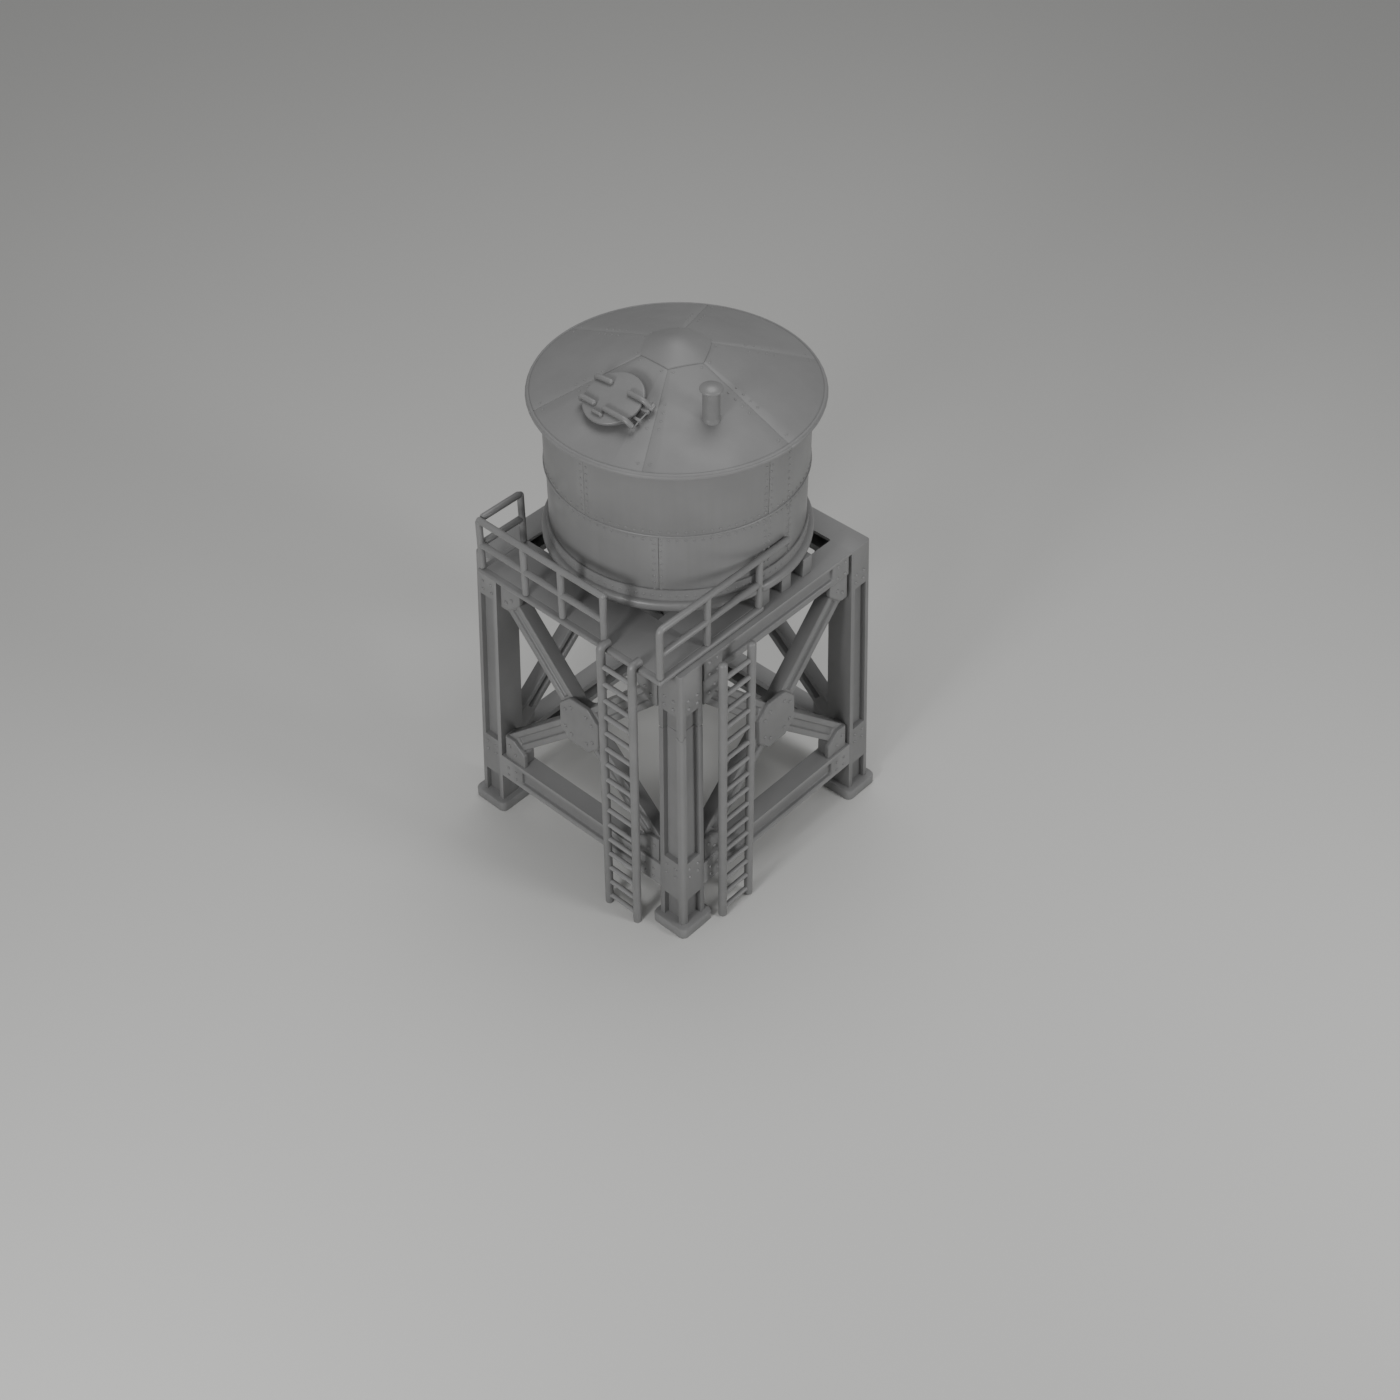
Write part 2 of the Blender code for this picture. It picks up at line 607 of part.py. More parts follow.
def make_vent(steel):
    """A short vertical pipe with a domed cap, cut to the roof's slope."""
    foot = roof_z(hypot(VENT_X, VENT_Y - TANK_Y))
    rim_top = VENT_TALL + VENT_CAP_RIM
    profile = [(VENT_R, -VENT_DEEP), (VENT_R, VENT_TALL), (VENT_CAP_R, VENT_TALL), (VENT_CAP_R, rim_top)]
    for angle in VENT_CAP_ANGLES:
        profile.append((VENT_CAP_R * cos(radians(angle)),
                        rim_top + (VENT_CAP_TALL - VENT_CAP_RIM) * sin(radians(angle))))
    angles = [2 * pi * i / VENT_SIDES for i in range(VENT_SIDES)]
    rings = [[(VENT_X + r * cos(a), VENT_Y + r * sin(a), foot + z) for a in angles] for r, z in profile]
    vent = loft("vent_pipe", rings, steel, smooth=True)
    use_boolean(vent, roof_body("cut_vent_foot", GAP, steel), "DIFFERENCE")


def make_tank(steel):
    """Base ring, floor and two courses of wall plates."""
    turns = ((JOIST_TOP + GAP + RING_EDGE, (-90, -45, 0)), (RING_TOP - RING_EDGE, (0, 45, 90)))
    edge = [(RING_R - RING_EDGE + RING_EDGE * cos(radians(a)), z + RING_EDGE * sin(radians(a)))
            for z, angles in turns for a in angles]
    wall_face = LOWER_R + GAP
    profile = [(RING_INNER, JOIST_TOP + GAP)] + edge
    profile += [(wall_face + ANGLE_THICK, RING_TOP), (wall_face + ANGLE_THICK, RING_TOP + ANGLE_TALL),
                (wall_face, RING_TOP + ANGLE_TALL), (wall_face, RING_TOP), (RING_INNER, RING_TOP)]
    ring = turned_ring("base_ring", profile, WALL_ANGLES, steel, loop=True)
    room = TUBE_R + POST_CLEARANCE
    low = (SIDE_RAIL_X - room, SIDE_POSTS[-1] - room, JOIST_TOP - NOTCH_PAST)
    high = (RING_R + NOTCH_PAST, SIDE_POSTS[-1] + room, RING_TOP + NOTCH_PAST)
    notch = box_between("cut_post_notch", low, high, steel)
    use_boolean(ring, notch, "DIFFERENCE")
    cylinder_between("tank_floor", (0, TANK_Y, JOIST_TOP + GAP), (0, TANK_Y, JOIST_TOP + GAP + FLOOR_THICK),
                     RING_INNER - FLOOR_ROOM, FLOOR_SIDES, steel)

    wall_top = roof_z(UPPER_R - WALL) - ROOF_THICK - ROOF_SEAT
    courses = (("lower", LOWER_R, RING_TOP + GAP, SEAM_Z + LAP, LOWER_STARTS),
               ("upper", UPPER_R, SEAM_Z, wall_top, UPPER_STARTS))
    for course, radius, low, high, starts in courses:
        inner = radius - WALL + (GAP if course == "upper" else 0)
        slope = ROOF_RISE * (radius - inner) if course == "upper" else 0
        profile = [(inner, low), (radius, low), (radius, high - slope), (inner, high)]
        ends = starts[1:] + (starts[0] + len(WALL_ANGLES),)
        for i, (first, last) in enumerate(zip(starts, ends)):
            turned_ring(f"wall_{course}_{i + 1}", profile, around(first, last), steel)


def make_joists(steel):
    for i, y in enumerate(JOIST_ROWS):
        right = DECK_INNER - JOIST_ROOM if y < DECK_END else JOIST_HALF
        box_between(f"joist_{i + 1}", (-JOIST_HALF, y - JOIST_WIDE / 2, FRAME_TOP + GAP),
                    (right, y + JOIST_WIDE / 2, JOIST_TOP), steel)


def make_deck(steel):
    """An L-shaped deck in two plates: the front one and the one along the right side."""
    low, high = FRAME_TOP + GAP, DECK_TOP
    box_between("deck_front", (DECK_LEFT, DECK_FRONT, low), (DECK_RIGHT, DECK_BACK, high), steel)
    box_between("deck_side", (DECK_INNER, DECK_BACK + GAP, low), (DECK_RIGHT, DECK_END, high), steel)


def make_tubes(name, lines, radius, sides, steel):
    """One frame of round tubes, fused where they meet."""
    frame = cylinder_between(name, *lines[0], radius, sides, steel)
    for i, (start, end) in enumerate(lines[1:]):
        tube = cylinder_between(f"add_{name}_{i}", start, end, radius, sides, steel)
        use_boolean(frame, tube, "UNION")
    return frame


def make_railings(steel):
    foot = DECK_TOP + GAP
    left, right = FRONT_POSTS[0], FRONT_POSTS[-1]
    y = FRONT_RAIL_Y
    lines = [((left, y, RAIL_Z), (right + FRONT_RAIL_END, y, RAIL_Z)),
             ((left, y, MID_RAIL_Z), (right, y, MID_RAIL_Z))]
    lines += [((x, y, foot), (x, y, RAIL_Z)) for x in FRONT_POSTS]
    make_tubes("railing_front", lines, TUBE_R, TUBE_SIDES, steel)

    start = y + TUBE_R + GAP
    back = BACK_POST_Y
    lines = [((left, back, foot), (left, back, RAIL_Z)), ((left, start, RAIL_Z), (left, back, RAIL_Z)),
             ((left, start, MID_RAIL_Z), (left, back, MID_RAIL_Z))]
    make_tubes("railing_end", lines, TUBE_R, TUBE_SIDES, steel)

    x = SIDE_RAIL_X
    near, last = SIDE_POSTS[0], SIDE_POSTS[-1]
    lines = [((x, near, RAIL_Z), (x, SIDE_RAIL_END, RAIL_Z)),
             ((x, near, MID_RAIL_Z), (x, last, MID_RAIL_Z))]
    lines += [((x, post, foot), (x, post, RAIL_Z)) for post in SIDE_POSTS]
    make_tubes("railing_side", lines, TUBE_R, TUBE_SIDES, steel)


def ladder_out(z, inset):
    """From the tower's axis to the middle of a ladder's rails."""
    return -DECK_FRONT + LADDER_RAIL_R + GAP + LADDER_LEAN * (DECK_TOP - z) - inset


def make_ladder(name, turns, along, inset, steel):
    """Two leaning round rails with rungs let into them; with no inset they just clear the deck's edge."""
    low, high = -ladder_out(0, inset), -ladder_out(LADDER_TOP, inset)
    rails = [(turned((along + side * LADDER_HALF, low, 0), turns),
              turned((along + side * LADDER_HALF, high, LADDER_TOP), turns))
             for side in (-1, 1)]
    ladder = cylinder_between(name, *rails[0], LADDER_RAIL_R, LADDER_RAIL_SIDES, steel)
    second = cylinder_between(f"add_{name}_rail", *rails[1], LADDER_RAIL_R, LADDER_RAIL_SIDES, steel)
    use_boolean(ladder, second, "UNION")
    for i in range(RUNG_COUNT):
        z = RUNG_FIRST + RUNG_STEP * i
        ends = [turned((along + side * LADDER_HALF, -ladder_out(z, inset), z), turns) for side in (-1, 1)]
        rung = cylinder_between(f"add_{name}_rung_{i}", *ends, RUNG_R, RUNG_SIDES, steel)
        use_boolean(ladder, rung, "UNION")


def stand_at_origin():
    """Hang everything on one empty, so that the middle of the footprint lies at the origin."""
    foot_reach = (half_width(FOOT_TALL) + leg_inner(FOOT_TALL)) / 2 + FOOT / 2
    side_shift, front_shift = ((ladder_out(0, inset) + LADDER_RAIL_R - foot_reach) / 2
                               for inset in (LADDER_SIDE_IN, 0))
    axis = bpy.data.objects.new("tower_axis", None)
    bpy.context.scene.collection.objects.link(axis)
    axis.location = (-side_shift, front_shift, 0)
    for item in bpy.data.objects:
        if item is not axis and item.parent is None:
            item.parent = axis


def main():
    clear_scene()
    frame_steel = painted_steel("frame_steel", STEEL)
    plate_steel = painted_steel("plate_steel", STEEL_LIGHT)
    fitting_steel = painted_steel("fitting_steel", STEEL_DARK)
    corners = ("front_right", "back_right", "back_left", "front_left")
    sides = ("front", "right", "back", "left")
    for turns, corner in enumerate(corners):
        make_leg(f"leg_{corner}", turns, frame_steel)
        make_footing(f"footing_{corner}", turns, frame_steel)
    for turns, side in enumerate(sides):
        make_beam(f"top_beam_{side}", turns, FRAME_TOP, TOP_BEAM_TALL, TOP_BEAM_WIDE, TOP_BEAM_FLANGES,
                  TOP_BEAM_PLATE, True, frame_steel)
        make_beam(f"lower_beam_{side}", turns, LOW_BEAM_TOP, LOW_BEAM_TALL, LOW_BEAM_WIDE, LOW_BEAM_FLANGES,
                  LOW_BEAM_PLATE, False, frame_steel)
        make_brace(f"brace_{side}", turns, frame_steel)
    make_joists(frame_steel)
    make_tank(plate_steel)
    make_roof(plate_steel)
    make_hatch(fitting_steel)
    make_vent(fitting_steel)
    make_deck(frame_steel)
    make_railings(fitting_steel)
    make_ladder("ladder_front", 0, LADDER_FRONT_X, 0, fitting_steel)
    make_ladder("ladder_side", 1, LADDER_SIDE_Y, LADDER_SIDE_IN, fitting_steel)
    stand_at_origin()


main()
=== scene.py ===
"""Looks of a riveted water tower: rounded steel, rivets, bolts, tubes, roof fittings, paint, floor and light.

Metres, +Z up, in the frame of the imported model. The front is -Y and the right side is +X. The pieces stay
where the model's solids are; their edges, fastenings, tubes and finishes are made here.
"""

from contextlib import contextmanager
from math import atan, atan2, cos, hypot, pi, radians, sin

import bpy
from mathutils import Matrix, Vector


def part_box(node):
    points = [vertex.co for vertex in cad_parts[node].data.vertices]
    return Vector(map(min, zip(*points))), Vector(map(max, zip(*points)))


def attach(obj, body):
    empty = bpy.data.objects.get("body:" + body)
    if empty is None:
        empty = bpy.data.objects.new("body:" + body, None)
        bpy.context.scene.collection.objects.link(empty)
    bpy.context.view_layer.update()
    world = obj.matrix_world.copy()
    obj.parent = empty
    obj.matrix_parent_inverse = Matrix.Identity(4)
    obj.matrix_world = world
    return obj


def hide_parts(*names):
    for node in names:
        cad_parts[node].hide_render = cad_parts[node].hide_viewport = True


bl_info = {
    "name": "Riveted Water Tower",
    "version": (1, 0, 0),
    "blender": (4, 5, 0),
    "location": "View3D > Sidebar > Water Tower",
    "description": "Finishes a water tower: rounded steelwork, rivets, railings, ladders and paint",
    "category": "Object",
}

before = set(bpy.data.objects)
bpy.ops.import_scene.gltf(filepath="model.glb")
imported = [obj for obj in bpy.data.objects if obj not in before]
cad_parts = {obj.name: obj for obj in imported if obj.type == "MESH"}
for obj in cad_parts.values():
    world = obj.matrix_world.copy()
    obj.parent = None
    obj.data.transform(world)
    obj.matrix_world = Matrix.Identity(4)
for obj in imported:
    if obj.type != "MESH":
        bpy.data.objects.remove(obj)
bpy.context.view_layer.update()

CORNERS = ("front_right", "back_right", "back_left", "front_left")
SIDES = ("front", "right", "back", "left")
MERGE = 0.00008               # points nearer than this are one
HAIR = 0.001                  # for tests of place, and to keep two faces out of one plane


def middle(*nodes):
    """Middle of the box around some nodes."""
    boxes = [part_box(node) for node in nodes]
    low = Vector([min(box[0][i] for box in boxes) for i in range(3)])
    high = Vector([max(box[1][i] for box in boxes) for i in range(3)])
    return (low + high) / 2


# Legs and beams; the first of these are read from the model
AXIS = middle(*(f"footing_{corner}" for corner in CORNERS))
FRAME_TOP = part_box("top_beam_front")[1].z
TOP_BEAM_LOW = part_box("top_beam_right")[0].z
BEAM_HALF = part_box("top_beam_right")[1].x - AXIS.x
FOOT_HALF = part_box("leg_front_right")[1].x - AXIS.x
SPLAY = (FOOT_HALF - BEAM_HALF) / (TOP_BEAM_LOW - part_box("leg_front_right")[0].z)
LOW_BEAM_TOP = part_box("lower_beam_front")[1].z
LEAN = atan(SPLAY)
LEG_TOP = 0.408               # width of a leg at the top, and its growth per metre down
LEG_TAPER = 0.0086
TOP_FLANGE = 0.05             # upper flange of the top beams, which runs on smoothly over the legs
SPLICE_Z = 3.78               # groove around the front right leg, where its upper length starts
SPLICE_HALF = 0.014
SPLICE_DEEP = 0.010
SPLICE_WALL = SPLICE_HALF * 0.4  # width of its sloping sides
SPLICE_DROP = 0.055           # it dips round the outer corner
SPLICE_CORNER = 0.05          # as far as this along both faces
FOOTING_EDGE = 0.008

# Bolts of the legs and beams, as (along the side, height)
LEG_TOP_BOLTS = ((1.66, 4.375), (1.825, 4.375), (1.66, 4.235), (1.825, 4.235))
LEG_LOW_BOLTS = ((1.76, 1.235), (1.93, 1.235), (1.76, 1.08), (1.93, 1.08))
TOP_BEAM_BOLTS = ((1.245, 4.765), (1.40, 4.765), (1.245, 4.565), (1.40, 4.565))
LOW_BEAM_BOLTS = ((1.34, 0.955), (1.50, 0.95), (1.335, 0.81), (1.50, 0.805))

# Cross braces: depths are behind the outer faces of the legs
HUB_Z = 2.75
HUB_HALF = (0.38, 0.41)       # half width and half height of the octagon, and its chamfer
HUB_CHAMFER = 0.20
PLATE_SET = 0.03              # depth of the centre and corner plates' faces
PLATE_THICK = 0.08
PLATE_CORNER = 0.03           # radius of the plates' free corners
PLATE_GAP = 0.055             # between the top corner plates and the legs
CROSSING_FILLET = 0.20        # of the web that fills the corners between the arms
CROSSING_DEPTHS = (0.10, 0.29)
CROSSING_EDGE = 0.010
CROSSING_STEPS = 6            # points on each of its fillets
CROSSING_LAP = 0.003          # it runs this far into the arms
ARM_SET = 0.09
ARM_WIDE = 0.31
ARM_DEEP = 0.22
ARM_FLANGE = 0.09
ARM_POCKETS = (0.05, 0.11)    # depth of the long recesses in front and at the back
POCKET_START = 0.44
POCKET_DRAFT = 0.012          # the recesses' walls lean in by this
ARM_UP = (radians(46), 2.25, 1.86)          # slope, length from the crossing, and the recesses' end
ARM_DOWN = (radians(-42.5), 2.20, 1.80)
TOP_CORNER = ((1.12, 4.28), (1.37, 4.06))   # free corners of the corner plates, as (along, height)
LOW_CORNER = ((1.17, 1.36), (1.39, 1.54))
CORE_INSET = 0.04             # the thick core behind a corner plate
CORE_DEPTHS = (0.10, 0.275)
HUB_BOLTS = ((0.15, HUB_Z + 0.25), (0.15, HUB_Z - 0.25), (0.265, HUB_Z + 0.16), (0.265, HUB_Z - 0.16))
CORNER_BOLTS = ((1.28, 4.30), (1.39, 4.21), (1.37, 1.265), (1.485, 1.39))

# Deck
DECK_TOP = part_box("deck_front")[1].z
DECK_LINE = (0.085, 0.100)    # a shallow groove inside the nosing, from the outer edge
DECK_LINE_DEEP = 0.005
DECK_LINE_WALL = 0.003        # width of its sloping sides
NOSING = 0.036                # radius of the outer edges
JOIST_EDGE = 0.014

# Tank
TANK = middle("roof_cap")
LOWER_R = 1.773
UPPER_R = 1.795
ANGLE_RING_R = LOWER_R + 0.028
WALL_EDGE = 0.010
RING_EDGE = 0.007
COURSE_BEAD = (UPPER_R - 0.002, 6.366)      # radius and height of the bead between the two courses
COURSE_BEAD_R = 0.018
BEAD_SIDES = 10
BEAD_STEPS = 96
BOLT_HEIGHT = 0.75            # of the frame's bolts, where 1 is half a ball
RIVET_HEIGHT = 0.55           # of the tank's and roof's rivets
HEAD_CUT = 0.15               # part of its radius by which a head goes on below the ball's middle
ROW_PITCH = 3.6               # degrees between the rivets of a row, and where the rows start
ROW_START = -54.3
ROWS = ((UPPER_R, 6.435), (LOWER_R, 6.285), (ANGLE_RING_R, 5.375))
COLUMN_PITCH = 0.107
UPPER_COLUMNS = (-90.4, -87.5, -7.5, -4.9, 7.0, 131.0, 133.6, 145.5)
LOWER_COLUMNS = (-57.0, -54.1, -7.0, -4.4, 8.0, 10.0, 155.6, 158.4)
UPPER_COLUMN = (6.52, 9)      # lowest rivet, and their number
LOWER_COLUMN = (5.47, 8)

# Roof
ROOF_RISE = 0.378
LIP_R = 1.951
LIP_Z = 7.47
LIP_BEAD = (1.946, 7.464)     # radius and height of the bead on the roof's lip
LIP_BEAD_R = 0.024
CAP_R = 0.48
CAP_TIP = 0.09                # the cap is rounded within this radius
CAP_TIP_ROUND = 0.85          # part of it that the rounding takes
CAP_EDGE = 0.008
CAP_RAISE = 0.018
CAP_SINK = 0.04
CAP_SIDES = 48
CAP_ROUND = 0.25              # how far its sides swell from a hexagon towards a circle
ROOF_RIVETS = (0.51, 0.97, 1.09, 1.21, 1.33, 1.82)      # distances from the middle
ROOF_RIVET_ASIDE = 0.075
ROOF_EDGE = 0.004
OPEN_SEAM = -120              # the one roof seam that shows as a dark line, and its groove
OPEN_SEAM_BEVEL = 0.011

# Hatch, in the plane of the front roof plate
HATCH_Y = AXIS.y - 1.03
HATCH_TILT = atan(ROOF_RISE)
HATCH_SINK = 0.012            # heights on the hatch count from this far under the roof's surface
LID_LOW = 0.0703
LID_TOP = 0.1203
LID_R = 0.415
LID_RIM = ((0.012, 0.0), (0.003, 0.004), (0.0, 0.012), (0.0, 0.032),        # (inward, up) from its lower edge
           (0.003, 0.042), (0.010, 0.048), (0.020, 0.050))
LID_CROWN = ((0.2, LID_TOP + 0.002), (0, LID_TOP + 0.003))
HINGE_OUT = 0.50
HINGE_UP = 0.045
HINGE_PIN = (0.112, 0.225)    # ends of the wide knuckle on the hinge
KNUCKLE_R = 0.036
BAR_R = 0.038
BAR_UP = LID_TOP + 0.028
BAR_BEND = 0.06
BAR_DROP = 0.41               # where the hinge bars bend down to the hinge
HINGE_BARS = ((0.135, 0.148), (0.01, -0.205))       # start across, and distance up the slope
HOOK_BARS = (((-0.42, 0.14), (-0.14, 0.165)),       # outer and inner ends
             ((-0.39, -0.205), (-0.115, -0.205)))
BAR_HOOK = (0.01, 0.03)       # a hook's tip, out from its bend and below the lid
HANDLE_ENDS = ((-0.08, -0.305), (0.065, -0.305))
HANDLE_UP = LID_TOP + 0.03
HANDLE_R = 0.023
HANDLE_BEND = 0.02
HANDLE_SINK = 0.01            # its feet reach this far into the lid
NECK_EDGE = 0.004

# Vent, as (radius, height above the roof)
VENT_R = 0.115
VENT_TALL = 0.415
VENT_FOOT = ((0, -0.05), (0.124, -0.05), (0.124, 0.0), (0.119, 0.012), (VENT_R, 0.03))
VENT_CAP = ((0.147, 0), (0.153, 0.006), (0.153, 0.026), (0.147, 0.034), (0.128, 0.046), (0.09, 0.062),
            (0.045, 0.073), (0, 0.076))         # heights above the pipe's top

# Railings and ladders
RAIL_Z = 5.765
MID_RAIL_Z = 5.35
TUBE_R = 0.046                # of the model's railings
PAINTED_TUBE_R = 0.050        # of the railings made here
TUBE_DOME = 0.8               # part of a tube's radius that is rounded off at its ends
RAIL_BEND = 0.072
FRONT_POSTS = (-0.66, 0.04, 0.82)  # after the corner post
RAIL_END = 0.05               # past the last post
SIDE_POSTS = (-1.30, -0.28)
LADDER_RAIL_R = 0.0625
HOOK = 0.15                   # past the rails' top end, over the deck
HOOK_BEND = 0.07
RUNG_R = 0.038
RUNG_STEP = 0.301
RUNG_FIRST = 0.16
RUNG_COUNT = 16

# Stage: each light has a name, a place, a diameter and a power in watts
LIGHTS = (("key", (4, -20, 12), 5, 1900), ("top", (-3, 5, 28), 14, 2000),
          ("right", (20, 4, 12), 6, 1500), ("camera side", (9, -17, 19), 3, 300))
LIGHTS_AIM = 4.0              # height on the tower's axis
SKY_STRENGTH = 0.30
FLOOR_SIZE = 400
CAMERA_LENS = 52.35           # millimetres
CAMERA_PLACE = (15.0765, -15.920, 22.805)
CAMERA_TURN = (radians(46.4764), 0, radians(42.4048))


class TowerSizes(bpy.types.PropertyGroup):
    """Sizes of the rounded edges and fastenings."""

    edge: bpy.props.FloatProperty(
        name="Frame edges", description="Radius on the edges of legs and beams",
        default=0.022, min=0.002, max=0.04, unit="LENGTH")
    plate_edge: bpy.props.FloatProperty(
        name="Plate edges", description="Radius on the edges of plates and arms",
        default=0.018, min=0.002, max=0.03, unit="LENGTH")
    bolt: bpy.props.FloatProperty(
        name="Bolt radius", description="Radius of the domed bolt heads on the frame",
        default=0.025, min=0.005, max=0.05, unit="LENGTH")
    brace_bolt: bpy.props.FloatProperty(
        name="Brace bolt radius", description="Radius of the domed bolt heads on the braces",
        default=0.030, min=0.005, max=0.06, unit="LENGTH")
    rivet: bpy.props.FloatProperty(
        name="Rivet radius", description="Radius of the rivet heads on the tank and roof",
        default=0.018, min=0.004, max=0.04, unit="LENGTH")


class TowerColours(bpy.types.PropertyGroup):
    """Colours of the paint and the floor."""

    paint: bpy.props.StringProperty(
        name="Paint", description="Grey of the painted steel, as an sRGB hex value",
        default="7C7C7C")
    paint_dark: bpy.props.StringProperty(
        name="Dull paint", description="Grey of the weathered patches, as an sRGB hex value",
        default="747474")
    # A lighter grey painted on the convex edges as a highlight.
    edge_highlight: bpy.props.StringProperty(
        name="Highlighted edges", description="Grey of the rubbed edges, as an sRGB hex value",
        default="929292")
    floor: bpy.props.StringProperty(
        name="Floor", description="Pale grey of the floor, as an sRGB hex value",
        default="C9C9C7")


def sizes():
    return bpy.context.scene.tower_sizes


def colours():
    return bpy.context.scene.tower_colours


# Modelling helpers

def select_only(*items):
    bpy.ops.object.select_all(action="DESELECT")
    for item in items:
        item.select_set(True)
    bpy.context.view_layer.objects.active = items[0]


@contextmanager
def edit_mode(item, kind="FACE"):
    """Edit mode on one object; the selection is what was picked before."""
    select_only(item)
    bpy.ops.object.mode_set(mode="EDIT")
    bpy.ops.mesh.select_mode(type=kind)
    yield
    bpy.ops.object.mode_set(mode="OBJECT")


def pick_faces(item, test):
    """Select the faces whose middle and normal pass a test, and nothing else."""
    mesh = item.data
    for vertex in mesh.vertices:
        vertex.select = False
    for edge in mesh.edges:
        edge.select = False
    for face in mesh.polygons:
        face.select = bool(test(face.center, face.normal))


def settle(item):
    """Put the object's place, turn and size into its mesh."""
    select_only(item)
    bpy.ops.object.transform_apply(location=True, rotation=True, scale=True)
    return item


def placed(item, matrix):
    item.matrix_world = matrix
    return settle(item)


def round_edges(item, width, segments=3, angle=30, where=None):
    """Round the sharp edges, or those of them whose two ends pass a test."""
    with edit_mode(item, "EDGE"):
        bpy.ops.mesh.select_all(action="DESELECT")
        bpy.ops.mesh.edges_select_sharp(sharpness=radians(angle))
    if where:
        points = item.data.vertices
        for edge in item.data.edges:
            a, b = edge.vertices
            edge.select = edge.select and bool(where(points[a].co, points[b].co))
        for part in (*points, *item.data.polygons):
            part.select = False
    with edit_mode(item, "EDGE"):
        bpy.ops.mesh.bevel(offset=width, segments=segments, profile=0.5, affect="EDGES",
                           clamp_overlap=True)
    return item


def cut_across(item, *planes):
    """Cut new edges where planes, each given by a point and a normal, pass through a mesh."""
    with edit_mode(item):
        for point, normal in planes:
            bpy.ops.mesh.select_all(action="SELECT")
            bpy.ops.mesh.bisect(plane_co=point, plane_no=normal)


def sink_faces(item, test, thickness, depth):
    """Inset the picked faces as one field and press it in."""
    pick_faces(item, test)
    with edit_mode(item):
        bpy.ops.mesh.inset(thickness=thickness, depth=-depth)


def joined(items, name):
    """Several meshes as one object."""
    select_only(*items)
    if len(items) > 1:
        bpy.ops.object.join()
    whole = bpy.context.view_layer.objects.active
    whole.name = name
    whole.data.name = name
    return whole


def linked(name, data):
    """A new object in the scene."""
    item = bpy.data.objects.new(name, data)
    bpy.context.scene.collection.objects.link(item)
    return item


def copy_of(item, matrix, name):
    """A copy with its own mesh, put in place."""
    return placed(linked(name, item.data.copy()), matrix)


def remove(item):
    bpy.data.objects.remove(item, do_unlink=True)


def close_shell(item):
    """Merge doubled points and turn the faces out."""
    with edit_mode(item):
        bpy.ops.mesh.select_all(action="SELECT")
        bpy.ops.mesh.remove_doubles(threshold=MERGE)
        bpy.ops.mesh.normals_make_consistent(inside=False)
    return item


def block(size):
    """A cube primitive at its size, its middle at the origin."""
    bpy.ops.mesh.primitive_cube_add(size=1)
    item = bpy.context.active_object
    item.scale = size
    return settle(item)


def plate_from(outline, thick, rounded=(), corner=0.0):
    """A plate: an outline in X and Z with some corners rounded, extruded along Y."""
    bpy.ops.mesh.primitive_circle_add(vertices=len(outline), fill_type="NGON")
    item = bpy.context.active_object
    for vertex, (x, z) in zip(item.data.vertices, outline):
        vertex.co = (x, 0, z)
        vertex.select = vertex.index in rounded
    for part in (*item.data.edges, *item.data.polygons):
        part.select = False
    with edit_mode(item, "VERT"):
        if rounded:
            bpy.ops.mesh.bevel(offset=corner, segments=4, affect="VERTICES")
        bpy.ops.mesh.select_all(action="SELECT")
        bpy.ops.mesh.extrude_region_move(TRANSFORM_OT_translate={"value": (0, thick, 0)})
        bpy.ops.mesh.select_all(action="SELECT")
        bpy.ops.mesh.normals_make_consistent(inside=False)
    return item


def lathe(profile, steps, closed):
    """A profile of (radius, z) points spun about the Z axis; an open one ends on the axis."""
    bpy.ops.mesh.primitive_circle_add(vertices=len(profile), radius=1)
    item = bpy.context.active_object
    for vertex, (radius, z) in zip(item.data.vertices, profile):
        vertex.co = (radius, 0, z)
    last = len(profile) - 1
    for edge in item.data.edges:
        edge.select = not closed and set(edge.vertices) == {0, last}
    for vertex in item.data.vertices:
        vertex.select = not closed and vertex.index in (0, last)
    with edit_mode(item, "EDGE"):
        if not closed:
            bpy.ops.mesh.delete(type="EDGE")
        bpy.ops.mesh.select_all(action="SELECT")
        bpy.ops.mesh.spin(steps=steps, angle=2 * pi, center=(0, 0, 0), axis=(0, 0, 1))
    return close_shell(item)


def tube(points, radius, sides=16, domed=True):
    """A round bar along a line of points, with domed or flat ends."""
    path = bpy.data.curves.new("tube path", "CURVE")
    path.dimensions = "3D"
    path.bevel_depth = radius
    path.bevel_resolution = sides // 2 - 2
    path.use_fill_caps = True
    spline = path.splines.new("POLY")
    spline.points.add(len(points) - 1)
    for point, place in zip(spline.points, points):
        point.co = (*place, 1)
    select_only(linked("tube", path))
    bpy.ops.object.convert(target="MESH")
    item = close_shell(bpy.context.active_object)
    if domed:
        with edit_mode(item):
            bpy.ops.mesh.select_all(action="SELECT")
            bpy.ops.mesh.dissolve_limited(angle_limit=radians(1))
        round_edges(item, radius * TUBE_DOME, 4, 60)
    return item


def ring_bead(radius, z, thick, name):
    """A round bar bent to a ring about the tank's axis."""
    angles = [2 * pi * i / BEAD_SIDES for i in range(BEAD_SIDES)]
    bead = lathe([(radius + thick * cos(a), z + thick * sin(a)) for a in angles], BEAD_STEPS, True)
    bead.name = name
    return placed(bead, Matrix.Translation((TANK.x, TANK.y, 0)))


